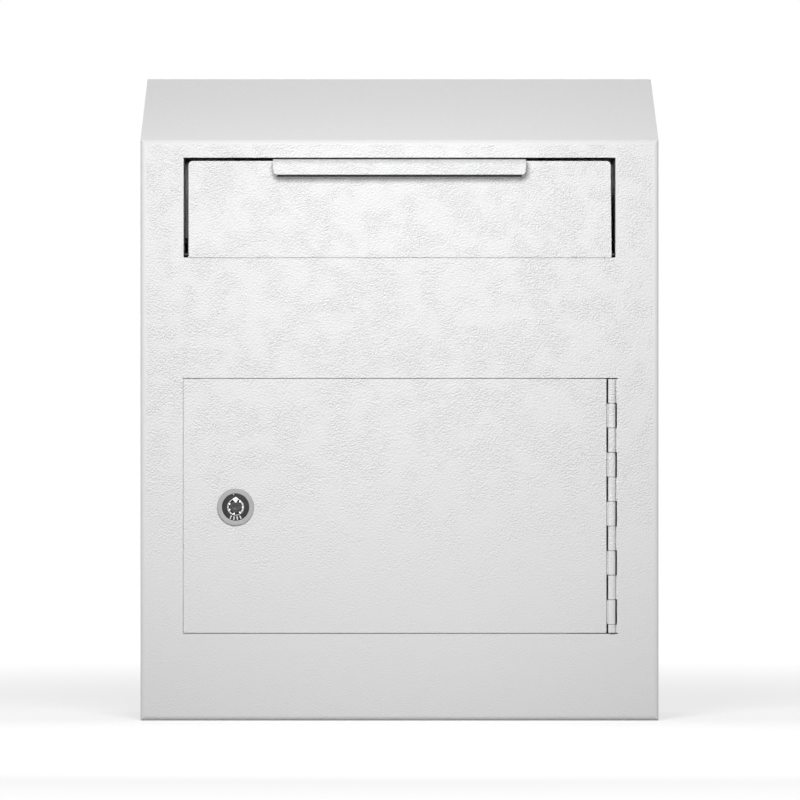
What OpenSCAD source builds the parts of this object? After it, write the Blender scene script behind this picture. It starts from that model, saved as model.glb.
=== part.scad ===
// Wall-mounted key drop box of folded sheet steel.
// A pull-down hopper takes the keys at the top and a hinged door with a
// round-key cam lock empties the box below.
// The origin is the middle of the underside, +Z is up and the front faces -Y.

/* [Body] */
// Width of the box
body_w = 320; // [240:1:420]
// Depth of the box, from the wall to the front face
body_d = 150; // [120:1:260]
// Height of the front face, up to the sloping top
front_h = 358; // [345:1:460]
// How much the top rises from the front to the back
top_rise = 44; // [15:1:80]
// Thickness of the body sheet
sheet = 1.5; // [1:0.1:2]
// Outer radius of the body's folds
bend_r = 3; // [2.2:0.1:5]

/* [Wall holes] */
// Diameter of the screw holes in the back
hole_d = 7; // [4:0.5:12]
// Distance of the holes from the sides of the box
hole_in = 60; // [22:1:90]
// Height of the lower row above the underside
hole_low_z = 60; // [25:1:120]
// Distance of the upper row below the top of the back
hole_drop = 82; // [20:1:120]
// How far the back panel's side flanges reach forward
back_flange = 14; // [8:1:30]

/* [Hopper opening] */
// Distance from each side of the box to the opening that the hopper closes
mouth_margin = 26.6; // [20:0.1:35]
// Height of that opening
mouth_h = 61.7; // [45:0.1:66]
// Distance from the front's top edge down to the opening
mouth_drop = 10.3; // [8:0.1:14]

/* [Hopper] */
// Gap between the hopper's front and each side of the opening
mouth_side_gap = 2.9; // [1.5:0.1:4]
// Gap above the hopper's front
mouth_top_gap = 2.1; // [1.6:0.1:4]
// Gap below the hopper's front
mouth_low_gap = 0.3; // [0.2:0.05:1]
// Thickness of the hopper's sheet
hopper_sheet = 1.5; // [1:0.1:1.6]
// Inner radius of the fold at the hopper's foot
hopper_fold_r = 0.1; // [0.1:0.1:0.6]
// Radius of the hopper front's upper corners
hopper_corner_r = 2.5; // [1:0.5:6]
// How far the hopper opens, in degrees
hopper_swing = 55; // [30:1:60]
// Slope of the tray below the level when the hopper is shut, in degrees
tray_slope = 30; // [20:1:35]
// Distance from the pivot to the tray's rear edge
tray_reach = 56; // [50:0.5:57]
// Length of the folded foot that carries the tray
foot_l = 12; // [6:0.5:20]
// Outer radius of the hopper's side plates
cheek_r = 55; // [45:0.5:56]
// Width of the side plates' welding flanges
cheek_flange = 9; // [5:0.5:15]
// Thickness of the side plates
cheek_t = 1.5; // [1:0.1:2]

/* [Hopper pivots and stops] */
// Diameter of the pivot pins
pivot_d = 2; // [1.6:0.1:2.2]
// Radial play of the pivot pins
pivot_play = 0.08; // [0.05:0.01:0.1]
// Diameter of the stop studs on the side plates
stud_d = 5; // [4:0.5:7]
// Distance from the pivot to the stop studs
stud_reach = 40; // [34:0.5:44]
// Angle of the stop studs above the level when shut, in degrees
stud_angle = 12; // [6:1:20]
// Clearance of the stop studs in their curved slots
stud_play = 0.3; // [0.2:0.05:0.5]
// How far the stop studs stand past the brackets
stud_tail = 3; // [2:0.1:5]
// Thickness of the brackets beside the hopper
bracket_t = 1.5; // [1:0.1:2]
// Width of the brackets' flanges behind the front
bracket_flange = 13; // [8:0.5:14]
// How far the brackets reach back from the front face
bracket_depth = 52; // [51:0.5:60]

/* [Handle] */
// Width of the pull handle
grip_w = 156.2; // [80:0.1:165]
// Thickness of the handle's sheet
grip_t = 1.1; // [0.8:0.1:1.2]
// How far the handle stands out from the hopper's front
grip_out = 12; // [8:0.5:18]
// How much the handle's top slopes down to its lip
grip_fall = 2.7; // [1:0.1:5]
// Height of the lip at the front of the handle
grip_lip = 6.7; // [4:0.1:12]
// How far the handle's rear flange reaches down behind the front
grip_tail = 14; // [8:0.5:20]
// How much narrower each end of the lip is at its lower edge
grip_taper = 0.7; // [0:0.1:2]
// Radius of the lip's lower corners
grip_corner_r = 2; // [1:0.1:3]

/* [Baffle] */
// Gap between the tray's rear edge and the baffle
baffle_gap = 3.5; // [2.5:0.5:8]
// Height of the baffle's lower edge above the pivot
baffle_low = 8; // [4:1:16]
// How far the baffle's side flanges reach back
baffle_flange = 12; // [8:1:25]
// Thickness of the baffle
baffle_t = 1.2; // [0.8:0.1:2]

/* [Door] */
// Distance from each side of the box to the lower door's opening
door_margin = 25.6; // [22:0.1:40]
// Height of that opening
door_open_h = 158; // [120:0.1:160]
// Height of the opening's lower edge above the underside
door_open_z = 53.6; // [40:0.1:56]
// How far the opening sits right of the middle
door_shift = 0.5; // [-1:0.1:1]
// Gap around the door, apart from its hinge side
door_gap = 0.5; // [0.3:0.1:1.5]
// Thickness of the door
door_t = 1.5; // [1:0.1:2]
// How far the door stands off the strips that it shuts on
door_rest_gap = 0.1; // [0.1:0.05:0.3]
// How far the door opens, in degrees
door_swing = 160; // [90:1:160]
// Distance of the stiffening channel from the lock's nut and from the upper strip
stiffener_gap = 6; // [3:0.5:8]
// Depth of that channel
stiffener_d = 8; // [5:0.5:12]
// Thickness of that channel
stiffener_t = 1.2; // [0.8:0.1:1.6]
// Width of the channel's feet
stiffener_foot = 8; // [5:0.5:12]

/* [Door strips] */
// How far the strips reach in behind the door
strip_lap = 8; // [5:0.5:12]
// How far the strips reach out behind the front
strip_back = 12; // [8:0.5:16]
// Thickness of the strips
strip_t = 1.5; // [1:0.1:2]
// Distance from the hinge axis to the ends of the upper and lower strips
strip_stop = 28; // [27:0.5:40]

/* [Hinge] */
// Diameter of the hinge's knuckles
knuckle_d = 4.5; // [4.1:0.1:5]
// Diameter of the hinge pin
hinge_pin_d = 2.2; // [1.6:0.1:2.4]
// Radial play of the hinge pin
hinge_play = 0.05; // [0.03:0.01:0.1]
// Distance between the knuckles, from joint to joint
knuckle_pitch = 15.16; // [10:0.1:25]
// Gap between one knuckle and the next
knuckle_gap = 0.15; // [0.1:0.05:0.4]
// Thickness of the hinge's leaves
leaf_t = 1; // [0.8:0.1:1.2]
// Width of the leaf on the door, from the axis
leaf_door_w = 25; // [15:0.5:26]
// Width of the leaf on the frame, from the axis
leaf_frame_w = 20; // [14:0.5:21]
// Gap between the knuckles and the edges beside them
knuckle_side_gap = 1; // [0.8:0.1:1.5]
// Width of the frame leaf that shows beside the knuckles
leaf_show = 1.6; // [1.3:0.1:3]
// Depth of the hinge axis behind the front face
hinge_inset = 0.25; // [0.2:0.05:0.35]

/* [Lock] */
// Distance from the lock's middle to the door opening's left edge
lock_from_left = 32.7; // [28:0.1:45]
// How far the lock's middle sits below the middle of the door
lock_drop = 0.7; // [0:0.1:15]
// Outer diameter of the lock's rim
rim_d = 22.8; // [21:0.1:26]
// How far the rim stands out from the door
rim_out = 1.3; // [1:0.1:2.5]
// Diameter of the lock's threaded barrel
barrel_d = 19; // [17.8:0.1:19.4]
// Width across the barrel's two flats
barrel_flats = 16.6; // [16:0.1:17.6]
// Length of the barrel behind the rim
barrel_l = 16; // [12:0.5:20]
// Clearance of the barrel in the door and in its nut
barrel_fit = 0.1; // [0.05:0.01:0.2]
// Diameter of the dark ring in the lock's face
face_d = 16.7; // [14:0.1:17.4]
// Depth of that ring
face_t = 1.7; // [1:0.1:2.5]
// How far the ring's face lies below the rim
face_inset = 0.3; // [0.1:0.1:0.6]
// Outer diameter of the round keyway
keyway_d = 10.8; // [9.5:0.1:11.5]
// Diameter of the post in the middle of the keyway
post_d = 7.2; // [5:0.1:7.4]
// Depth of the keyway
keyway_depth = 3; // [2:0.1:5]
// Number of pins in the keyway
pin_count = 7; // [5:1:8]
// Diameter of the keyway's pins
key_pin_d = 1.3; // [0.8:0.1:1.4]
// Length of the pins that shows in the keyway
key_pin_l = 1.6; // [0.6:0.1:1.8]
// Running clearance of the lock's turning core
core_play = 0.1; // [0.05:0.01:0.15]
// Width across the nut's flats
nut_af = 22; // [21.5:0.5:26]
// Thickness of the nut
nut_t = 3; // [2:0.5:5]
// Thickness of the toothed washer under the nut
washer_t = 0.8; // [0.5:0.1:1.2]

/* [Cam] */
// Distance from the lock's middle to the cam's tip
cam_reach = 38; // [34:0.5:44]
// Width of the cam's arm
cam_w = 14; // [10:0.5:18]
// Thickness of the cam
cam_t = 2; // [1.5:0.1:3]
// Width across the square end of the lock's core
square_w = 6.8; // [5.5:0.1:7.2]
// Clearance of the cam on that square
square_fit = 0.1; // [0.05:0.01:0.15]
// Thickness of the stop washer in front of the cam
stop_washer_t = 1; // [0.8:0.1:1.5]
// Gap between the latched cam and the edge that holds it
latch_gap = 0.6; // [0.4:0.1:1]
// Diameter of the cam screw's thread
cam_screw_d = 4; // [3:0.1:4.2]
// Diameter of the cam screw's head
cam_head_d = 9; // [8.4:0.1:11]
// How far the lock turns, in degrees
cam_turn = 90; // [80:1:90]

/* [Hidden] */
$fn = 64;
far = 900;
through = 1;

// Faces of the body
front_y = -body_d / 2;
back_y = body_d / 2;
slope = atan(top_rise / body_d);
inner_w = body_w - 2 * sheet;

// Heights of the middles of the upper and the lower front fold
top_bend_z = front_h - bend_r * (1 - sin(slope)) / cos(slope);
low_bend_z = bend_r;

// Hopper opening, and the axis that the hopper turns on
mouth_w = body_w - 2 * mouth_margin;
mouth_top = front_h - mouth_drop;
mouth_low = mouth_top - mouth_h;
foot_r = hopper_sheet + hopper_fold_r;
pivot_y = front_y + foot_r;
pivot_z = mouth_low + mouth_low_gap + foot_r;
hopper_w = mouth_w - 2 * mouth_side_gap;
hopper_top = mouth_top - mouth_top_gap;
cheek_x = hopper_w / 2 - cheek_t;
front_inner_y = front_y + hopper_sheet;

// Lower door's opening, and the hinge axis
door_open_w = body_w - 2 * door_margin;
door_left = door_shift - door_open_w / 2;
door_right = door_shift + door_open_w / 2;
door_top = door_open_z + door_open_h;
hinge_x = door_right - leaf_show - knuckle_d / 2;
hinge_y = front_y + hinge_inset;
panel_left = door_left + door_gap;
panel_right = hinge_x - knuckle_d / 2 - knuckle_side_gap;
panel_low = door_open_z + door_gap;
panel_top = door_top - door_gap;
panel_back_y = front_y + sheet - door_rest_gap;
panel_y = panel_back_y - door_t;
knuckles = ceil((panel_top - panel_low) / knuckle_pitch);

// Lock, along its own axis from the rim to the cam
lock_x = door_left + lock_from_left;
lock_z = door_open_z + door_open_h / 2 - lock_drop;
washer_d = nut_af + 1;
rim_y = panel_y - rim_out;
face_y = rim_y + face_inset;
keyway_y = face_y + keyway_depth;
barrel_end_y = panel_y + barrel_l;
core_r = keyway_d / 2 - core_play;
stop_washer_y = barrel_end_y + core_play;
cam_y = stop_washer_y + stop_washer_t;
cam_back_y = cam_y + cam_t;
nut_y = panel_back_y + washer_t;
strike_end_y = cam_y - latch_gap;

// Extrudes a side view, drawn as (y, z), across the width from x0 to x1
module across(x0, x1) {
    translate([x0, 0, 0])
        rotate([90, 0, 90])
            linear_extrude(x1 - x0)
                children();
}

// Extrudes a front view, drawn as (x, z), from y0 back to y1
module deep(y0, y1) {
    translate([0, y1, 0])
        rotate([90, 0, 0])
            linear_extrude(y1 - y0)
                children();
}

// A block between two corners
module block(low, high) {
    translate(low)
        cube(high - low);
}

// A cylinder along X or Y between two places on its axis
module bar_x(x0, x1, y, z, d) {
    translate([x0, y, z])
        rotate([0, 90, 0])
            cylinder(d = d, h = x1 - x0);
}

module bar_y(y0, y1, x, z, d) {
    translate([x, y1, z])
        rotate([90, 0, 0])
            cylinder(d = d, h = y1 - y0);
}

// Section of a fold: a ring between two radii, from one angle on through a turn
module fold(r_in, r_out, start, turn) {
    reach = 2 * r_out;
    rotate(start)
        intersection() {
            difference() {
                circle(r_out);
                circle(r_in);
            }
            polygon([
                [0, 0],
                [reach, 0],
                reach * [cos(turn / 2), sin(turn / 2)],
                reach * [cos(turn), sin(turn)]
            ]);
        }
}

// Height of the top cover's underside at a distance behind the front face
function roof_z(depth) =
    top_bend_z + (bend_r - sheet) / cos(slope) + (depth - bend_r) * tan(slope);

// Height of the top cover's upper face at a distance behind the front face
function top_z(depth) = roof_z(depth) + sheet / cos(slope);

// Keeps what lies inside the box's outline in plan, with its two round front corners
module inside_plan() {
    half = body_w / 2;
    intersection() {
        children();
        linear_extrude(far)
            union() {
                for (side = [-1, 1])
                    translate([side * (half - bend_r), front_y + bend_r])
                        circle(bend_r);
                translate([-half, front_y + bend_r])
                    square([body_w, body_d]);
                translate([-half + bend_r, front_y])
                    square([body_w - 2 * bend_r, body_d]);
            }
    }
}

// Front and sides of the body, folded from one sheet, with both openings
module body_shell() {
    half = body_w / 2;
    side_depth = body_d - bend_r;
    lip = bend_r - sheet;
    color("gainsboro")
    difference() {
        union() {
            block([-half + bend_r, front_y, low_bend_z], [half - bend_r, front_y + sheet, top_bend_z]);
            for (side = [-1, 1])
                mirror([side < 0 ? 1 : 0, 0, 0]) {
                    intersection() {
                        translate([half - bend_r, front_y + bend_r, 0])
                            linear_extrude(far)
                                fold(lip, bend_r, -90, 90);
                        across(0, body_w)
                            union() {
                                translate([front_y, low_bend_z])
                                    square([bend_r, top_bend_z - low_bend_z]);
                                translate([front_y + bend_r, low_bend_z])
                                    circle(lip);
                                translate([front_y + bend_r, top_bend_z])
                                    circle(lip);
                            }
                    }
                    across(half - sheet, half)
                        polygon([
                            [front_y + bend_r, sheet],
                            [back_y, sheet],
                            [back_y, roof_z(body_d)],
                            [front_y + bend_r, roof_z(bend_r)]
                        ]);
                }
        }
        block(
            [-mouth_w / 2 - bracket_t, front_y - through, mouth_low],
            [mouth_w / 2 + bracket_t, front_y + sheet + through, mouth_top]);
        block(
            [door_left, front_y - through, door_open_z],
            [door_right, front_y + sheet + through, door_top]);
    }
}

// Sloping top, folded down at the front
module top_cover() {
    run = bend_r * (1 - sin(slope));
    inner_run = bend_r - (bend_r - sheet) * sin(slope);
    color("whitesmoke")
    inside_plan()
        across(-body_w / 2, body_w / 2)
            union() {
                translate([front_y + bend_r, top_bend_z])
                    fold(bend_r - sheet, bend_r, 90 + slope, 90 - slope);
                polygon([
                    [front_y + run, top_z(run)],
                    [front_y + inner_run, roof_z(inner_run)],
                    [back_y, roof_z(body_d)],
                    [back_y, top_z(body_d)]
                ]);
            }
}

// Bottom, folded up at the front
module bottom_panel() {
    color("lightgray")
    inside_plan()
        across(-body_w / 2, body_w / 2)
            union() {
                translate([front_y + bend_r, low_bend_z])
                    fold(bend_r - sheet, bend_r, 180, 90);
                translate([front_y + bend_r, 0])
                    square([body_d - bend_r, sheet]);
            }
}

// Back panel, folded forward at both sides, with four holes for wall screws
module back_panel() {
    plate_top = roof_z(body_d - sheet);
    flange_top = roof_z(body_d - back_flange);
    color("silver")
    difference() {
        union() {
            block([-inner_w / 2, back_y - sheet, sheet], [inner_w / 2, back_y, plate_top]);
            for (side = [-1, 1])
                mirror([side < 0 ? 1 : 0, 0, 0])
                    block(
                        [inner_w / 2 - sheet, back_y - back_flange, sheet],
                        [inner_w / 2, back_y - sheet, flange_top]);
        }
        for (x = [hole_in - body_w / 2, body_w / 2 - hole_in])
            for (z = [hole_low_z, front_h + top_rise - hole_drop])
                bar_y(back_y - sheet - through, back_y + through, x, z, hole_d);
    }
}

// Strip behind the front that the door shuts on, from z0 up to z1
module door_strip(z0, z1) {
    color("lightgray")
    block(
        [door_left + strip_lap, front_y + sheet, z0],
        [hinge_x - strip_stop, front_y + sheet + strip_t, z1]);
}

module door_strip_top() {
    door_strip(door_top - strip_lap, door_top + strip_back);
}

module door_strip_bottom() {
    door_strip(door_open_z - strip_back, door_open_z + strip_lap);
}

// Angle behind the opening's left edge: the door shuts on it and the cam hooks behind it
module latch_strike() {
    low = door_open_z - strip_back;
    high = door_top + strip_back;
    edge = door_left + strip_lap;
    color("lightgray")
    union() {
        block([door_left - strip_back, front_y + sheet, low], [edge, front_y + sheet + strip_t, high]);
        block([edge - strip_t, front_y + sheet, low], [edge, strike_end_y, high]);
    }
}

// Bracket on the right of the hopper: a plate with the pivot hole and the curved stop slot
module hopper_bracket() {
    inner_x = mouth_w / 2;
    slot_r = stud_d / 2 + stud_play;
    color("lightgray")
    difference() {
        union() {
            block(
                [inner_x, front_y, mouth_low],
                [inner_x + bracket_t, front_y + bracket_depth, mouth_top]);
            block(
                [inner_x + bracket_t, front_y + sheet, mouth_low],
                [inner_x + bracket_t + bracket_flange, front_y + sheet + bracket_t, mouth_top]);
        }
        bar_x(inner_x - through, inner_x + bracket_t + through, pivot_y, pivot_z,
            pivot_d + 2 * pivot_play);
        for (turn = [0, hopper_swing])
            bar_x(inner_x - through, inner_x + bracket_t + through,
                pivot_y + stud_reach * cos(stud_angle + turn),
                pivot_z + stud_reach * sin(stud_angle + turn),
                2 * slot_r);
        translate([inner_x - through, pivot_y, pivot_z])
            rotate([90, 0, 90])
                rotate([0, 0, stud_angle])
                    rotate_extrude(angle = hopper_swing)
                        translate([stud_reach - slot_r, 0])
                            square([2 * slot_r, bracket_t + 2 * through]);
    }
}

module hopper_bracket_right() {
    hopper_bracket();
}

module hopper_bracket_left() {
    mirror([1, 0, 0])
        hopper_bracket();
}

// Fixed plate behind the tray that keeps a hand or a wire out of the box
module baffle() {
    y0 = pivot_y + tray_reach + baffle_gap;
    low = pivot_z + baffle_low;
    high = roof_z(y0 - front_y);
    color("lightgray")
    union() {
        block([-inner_w / 2, y0, low], [inner_w / 2, y0 + baffle_t, high]);
        for (side = [-1, 1])
            mirror([side < 0 ? 1 : 0, 0, 0])
                block(
                    [inner_w / 2 - baffle_t, y0 + baffle_t, low],
                    [inner_w / 2, y0 + baffle_flange, high]);
    }
}

// Front of the hopper: a plate with a folded foot that carries the tray
module hopper_front() {
    plate_low = pivot_z;
    color("whitesmoke")
    union() {
        deep(front_y, front_inner_y)
            union() {
                translate([-hopper_w / 2, plate_low])
                    square([hopper_w, hopper_top - hopper_corner_r - plate_low]);
                translate([-hopper_w / 2 + hopper_corner_r, plate_low])
                    square([hopper_w - 2 * hopper_corner_r, hopper_top - plate_low]);
                for (side = [-1, 1])
                    translate([side * (hopper_w / 2 - hopper_corner_r), hopper_top - hopper_corner_r])
                        circle(hopper_corner_r);
            }
        across(-hopper_w / 2, hopper_w / 2)
            translate([pivot_y, pivot_z])
                union() {
                    intersection() {
                        difference() {
                            circle(foot_r);
                            circle(hopper_fold_r);
                        }
                        polygon([
                            [0, 0],
                            [-2 * foot_r, 0],
                            [-2 * foot_r, -2 * foot_r],
                            2 * foot_r * [-sin(tray_slope), -cos(tray_slope)]
                        ]);
                    }
                    rotate(-tray_slope)
                        translate([0, -foot_r])
                            square([foot_l, hopper_sheet]);
                }
    }
}

// Sloping tray, welded onto the hopper front's foot
module hopper_tray() {
    start = 2 * hopper_sheet;
    color("lightgray")
    across(-cheek_x, cheek_x)
        translate([pivot_y, pivot_z])
            rotate(-tray_slope)
                translate([start, -hopper_fold_r])
                    square([tray_reach - start, hopper_sheet]);
}

// Side plate of the hopper, on the right, with its welding flange
module hopper_cheek() {
    flange_low = 2 * foot_r;
    color("lightgray")
    union() {
        across(cheek_x, cheek_x + cheek_t)
            intersection() {
                translate([pivot_y, pivot_z])
                    circle(cheek_r);
                translate([front_inner_y, pivot_z - far / 2])
                    square([far, far]);
                translate([pivot_y, pivot_z])
                    rotate(-tray_slope)
                        translate([-far / 2, -hopper_fold_r])
                            square([far, far]);
            }
        block(
            [cheek_x - cheek_flange, front_inner_y, pivot_z + flange_low],
            [cheek_x, front_inner_y + cheek_t, pivot_z + cheek_r - hopper_corner_r - cheek_t]);
    }
}

module hopper_cheek_right() {
    hopper_cheek();
}

module hopper_cheek_left() {
    mirror([1, 0, 0])
        hopper_cheek();
}

// Pull handle, hooked over the hopper front's upper edge and turned down into a lip
module hopper_handle() {
    top_z = hopper_top + grip_t;
    lip_y = front_y - grip_out;
    corner_z = top_z - grip_fall;
    lip_z = corner_z - grip_lip;
    half = grip_w / 2;
    low_half = half - grip_taper;
    color("whitesmoke")
    intersection() {
        across(-half, half)
            polygon([
                [front_inner_y + grip_t, top_z],
                [front_y, top_z],
                [lip_y, corner_z],
                [lip_y, lip_z],
                [lip_y + grip_t, lip_z],
                [lip_y + grip_t, corner_z - grip_t],
                [front_y, hopper_top],
                [front_inner_y, hopper_top],
                [front_inner_y, top_z - grip_tail],
                [front_inner_y + grip_t, top_z - grip_tail]
            ]);
        union() {
            deep(lip_y - through, front_y - through)
                union() {
                    polygon([
                        [-half, top_z + through],
                        [-half, corner_z],
                        [-low_half, lip_z + grip_corner_r],
                        [-low_half + grip_corner_r, lip_z],
                        [low_half - grip_corner_r, lip_z],
                        [low_half, lip_z + grip_corner_r],
                        [half, corner_z],
                        [half, top_z + through]
                    ]);
                    for (side = [-1, 1])
                        translate([side * (low_half - grip_corner_r), lip_z + grip_corner_r])
                            circle(grip_corner_r);
                }
            block(
                [-body_w, front_y - through, top_z - grip_tail - through],
                [body_w, front_inner_y + 2 * grip_t, top_z + through]);
        }
    }
}

// Pivot pins, welded to the ends of the hopper's folded foot; they end inside the brackets
module hopper_pivot_pins() {
    color("darkgray")
    for (side = [-1, 1])
        mirror([side < 0 ? 1 : 0, 0, 0])
            bar_x(hopper_w / 2, mouth_w / 2 + bracket_t - pivot_play, pivot_y, pivot_z, pivot_d);
}

// Studs on the side plates that run in the brackets' curved slots
module hopper_stop_studs() {
    color("darkgray")
    for (side = [-1, 1])
        mirror([side < 0 ? 1 : 0, 0, 0])
            bar_x(hopper_w / 2, mouth_w / 2 + bracket_t + stud_tail,
                pivot_y + stud_reach * cos(stud_angle),
                pivot_z + stud_reach * sin(stud_angle),
                stud_d);
}

// Section of a round bar with two flats, as the lock's barrel has
module flatted(d, flats) {
    intersection() {
        circle(d = d);
        square([flats, 2 * d], center = true);
    }
}

module door_panel() {
    color("gainsboro")
    difference() {
        block([panel_left, panel_y, panel_low], [panel_right, panel_back_y, panel_top]);
        deep(panel_y - through, panel_back_y + through)
            translate([lock_x, lock_z])
                flatted(barrel_d + 2 * barrel_fit, barrel_flats + 2 * barrel_fit);
    }
}

// Channel across the inside of the door, above the lock
module door_stiffener() {
    low = lock_z + washer_d / 2 + stiffener_gap;
    high = door_top - strip_lap - stiffener_gap;
    crown = high - low - 2 * stiffener_foot;
    x0 = panel_left + strip_lap + strip_back;
    x1 = panel_right - leaf_door_w;
    color("lightgray")
    across(x0, x1)
        difference() {
            union() {
                translate([panel_back_y, low])
                    square([stiffener_t, high - low]);
                translate([panel_back_y, low + stiffener_foot])
                    square([stiffener_d, crown]);
            }
            translate([panel_back_y - through, low + stiffener_foot + stiffener_t])
                square([stiffener_d - stiffener_t + through, crown - 2 * stiffener_t]);
        }
}

// Knuckles first, first + 2 and so on, each with its root to the leaf on one side
module knuckle_row(first, side, leaf_y) {
    for (i = [first : 2 : knuckles - 1]) {
        high = panel_top - i * knuckle_pitch - knuckle_gap / 2;
        low = max(panel_low, panel_top - (i + 1) * knuckle_pitch) + knuckle_gap / 2;
        translate([hinge_x, hinge_y, low])
            cylinder(d = knuckle_d, h = high - low);
        block(
            [min(hinge_x, hinge_x + side * knuckle_d), leaf_y, low],
            [max(hinge_x, hinge_x + side * knuckle_d), leaf_y + leaf_t, high]);
    }
}

module hinge_bore() {
    translate([hinge_x, hinge_y, -through])
        cylinder(d = hinge_pin_d + 2 * hinge_play, h = far);
}

module hinge_leaf_frame() {
    leaf_y = front_y + sheet;
    edge = hinge_x + knuckle_d / 2 + knuckle_side_gap;
    color("silver")
    difference() {
        union() {
            knuckle_row(0, 1, leaf_y);
            block([edge, leaf_y, panel_low], [hinge_x + leaf_frame_w, leaf_y + leaf_t, panel_top]);
        }
        hinge_bore();
    }
}

module hinge_leaf_door() {
    color("silver")
    difference() {
        union() {
            knuckle_row(1, -1, panel_back_y);
            block(
                [hinge_x - leaf_door_w, panel_back_y, panel_low],
                [panel_right, panel_back_y + leaf_t, panel_top]);
        }
        hinge_bore();
    }
}

module hinge_pin() {
    color("darkgray")
    translate([hinge_x, hinge_y, panel_low])
        cylinder(d = hinge_pin_d, h = panel_top - panel_low);
}

// Rim and threaded barrel of the lock
module lock_housing() {
    edge_r = rim_out / 3;
    color("silver")
    difference() {
        union() {
            translate([lock_x, panel_y, lock_z])
                rotate([90, 0, 0])
                    rotate_extrude()
                        union() {
                            square([rim_d / 2, rim_out - edge_r]);
                            square([rim_d / 2 - edge_r, rim_out]);
                            intersection() {
                                translate([rim_d / 2 - edge_r, rim_out - edge_r])
                                    circle(edge_r);
                                square([rim_d, 2 * rim_out]);
                            }
                        }
            deep(panel_y, barrel_end_y)
                translate([lock_x, lock_z])
                    flatted(barrel_d, barrel_flats);
        }
        bar_y(rim_y - through, face_y + face_t, lock_x, lock_z, face_d);
        bar_y(rim_y - through, barrel_end_y + through, lock_x, lock_z, keyway_d);
    }
}

// Dark ring in the lock's face, with the notch that lines the key up
module lock_face() {
    notch = (face_d - keyway_d) / 3;
    color("dimgray")
    deep(face_y, face_y + face_t)
        translate([lock_x, lock_z])
            difference() {
                circle(d = face_d);
                circle(d = keyway_d);
                polygon([
                    [-notch, keyway_d / 2 - notch],
                    [notch, keyway_d / 2 - notch],
                    [0, keyway_d / 2 + notch]
                ]);
            }
}

module lock_washer() {
    color("darkgray")
    deep(panel_back_y, nut_y)
        translate([lock_x, lock_z])
            difference() {
                circle(d = washer_d);
                circle(d = barrel_d + 2 * barrel_fit);
            }
}

module lock_nut() {
    color("darkgray")
    translate([lock_x, nut_y + nut_t, lock_z])
        rotate([90, 0, 0])
            difference() {
                cylinder(d = nut_af / cos(30), h = nut_t, $fn = 6);
                translate([0, 0, -through])
                    cylinder(d = barrel_d + barrel_fit, h = nut_t + 2 * through);
            }
}

// Turning core of the lock: the post, the disc that holds the pins and the square end
module lock_core() {
    square_end_y = cam_back_y - square_fit;
    color("gray")
    difference() {
        union() {
            bar_y(face_y, keyway_y, lock_x, lock_z, post_d);
            bar_y(keyway_y, barrel_end_y, lock_x, lock_z, 2 * core_r);
            deep(barrel_end_y, square_end_y)
                translate([lock_x, lock_z])
                    square(square_w, center = true);
        }
        bar_y(barrel_end_y - barrel_l / 3, square_end_y + through, lock_x, lock_z,
            cam_screw_d + 2 * square_fit);
    }
}

module lock_key_pins() {
    pitch_r = (keyway_d + post_d) / 4;
    color("white")
    for (i = [0 : pin_count - 1]) {
        turn = 90 + (i + 0.5) * 360 / pin_count;
        bar_y(keyway_y - key_pin_l, keyway_y,
            lock_x + pitch_r * cos(turn), lock_z + pitch_r * sin(turn), key_pin_d);
    }
}

module lock_stop_washer() {
    color("darkgray")
    deep(stop_washer_y, cam_y)
        translate([lock_x, lock_z])
            difference() {
                circle(d = barrel_flats);
                square(square_w + 2 * square_fit, center = true);
            }
}

// Cam, hanging down clear of the strike; turned by cam_turn it hooks behind the strike
module lock_cam() {
    color("silver")
    deep(cam_y, cam_back_y)
        translate([lock_x, lock_z])
            difference() {
                union() {
                    circle(d = barrel_flats);
                    translate([-cam_w / 2, -cam_reach + cam_w / 2])
                        square([cam_w, cam_reach - cam_w / 2]);
                    translate([0, -cam_reach + cam_w / 2])
                        circle(d = cam_w);
                }
                square(square_w + 2 * square_fit, center = true);
            }
}

module cam_screw() {
    shank_y = barrel_end_y - barrel_l / 3;
    head_t = cam_screw_d * 0.6;
    slot_w = cam_screw_d / 4;
    color("darkgray")
    difference() {
        union() {
            bar_y(shank_y + square_fit, cam_back_y, lock_x, lock_z, cam_screw_d);
            bar_y(cam_back_y, cam_back_y + head_t, lock_x, lock_z, cam_head_d);
        }
        for (turn = [0, 90])
            translate([lock_x, cam_back_y + head_t, lock_z])
                rotate([0, turn, 0])
                    cube([cam_head_d * 0.6, head_t, slot_w], center = true);
    }
}

body_shell();
top_cover();
bottom_panel();
back_panel();
door_strip_top();
door_strip_bottom();
latch_strike();
hopper_bracket_left();
hopper_bracket_right();
baffle();
hinge_leaf_frame();
hinge_pin();
hopper_front();
hopper_tray();
hopper_cheek_left();
hopper_cheek_right();
hopper_handle();
hopper_pivot_pins();
hopper_stop_studs();
door_panel();
door_stiffener();
hinge_leaf_door();
lock_housing();
lock_face();
lock_washer();
lock_nut();
lock_core();
lock_key_pins();
lock_stop_washer();
lock_cam();
cam_screw();
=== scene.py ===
"""Looks of a wall-mounted key drop box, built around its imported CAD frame.

The CAD frame gives every size and place. This script dresses it: folded sheet
with a textured powder coat, a rolled hinge, a round-key cam lock and the zinc
plated parts behind the door.
"""

import logging
import math
from dataclasses import dataclass, field
from enum import Enum
from typing import Callable

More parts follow.
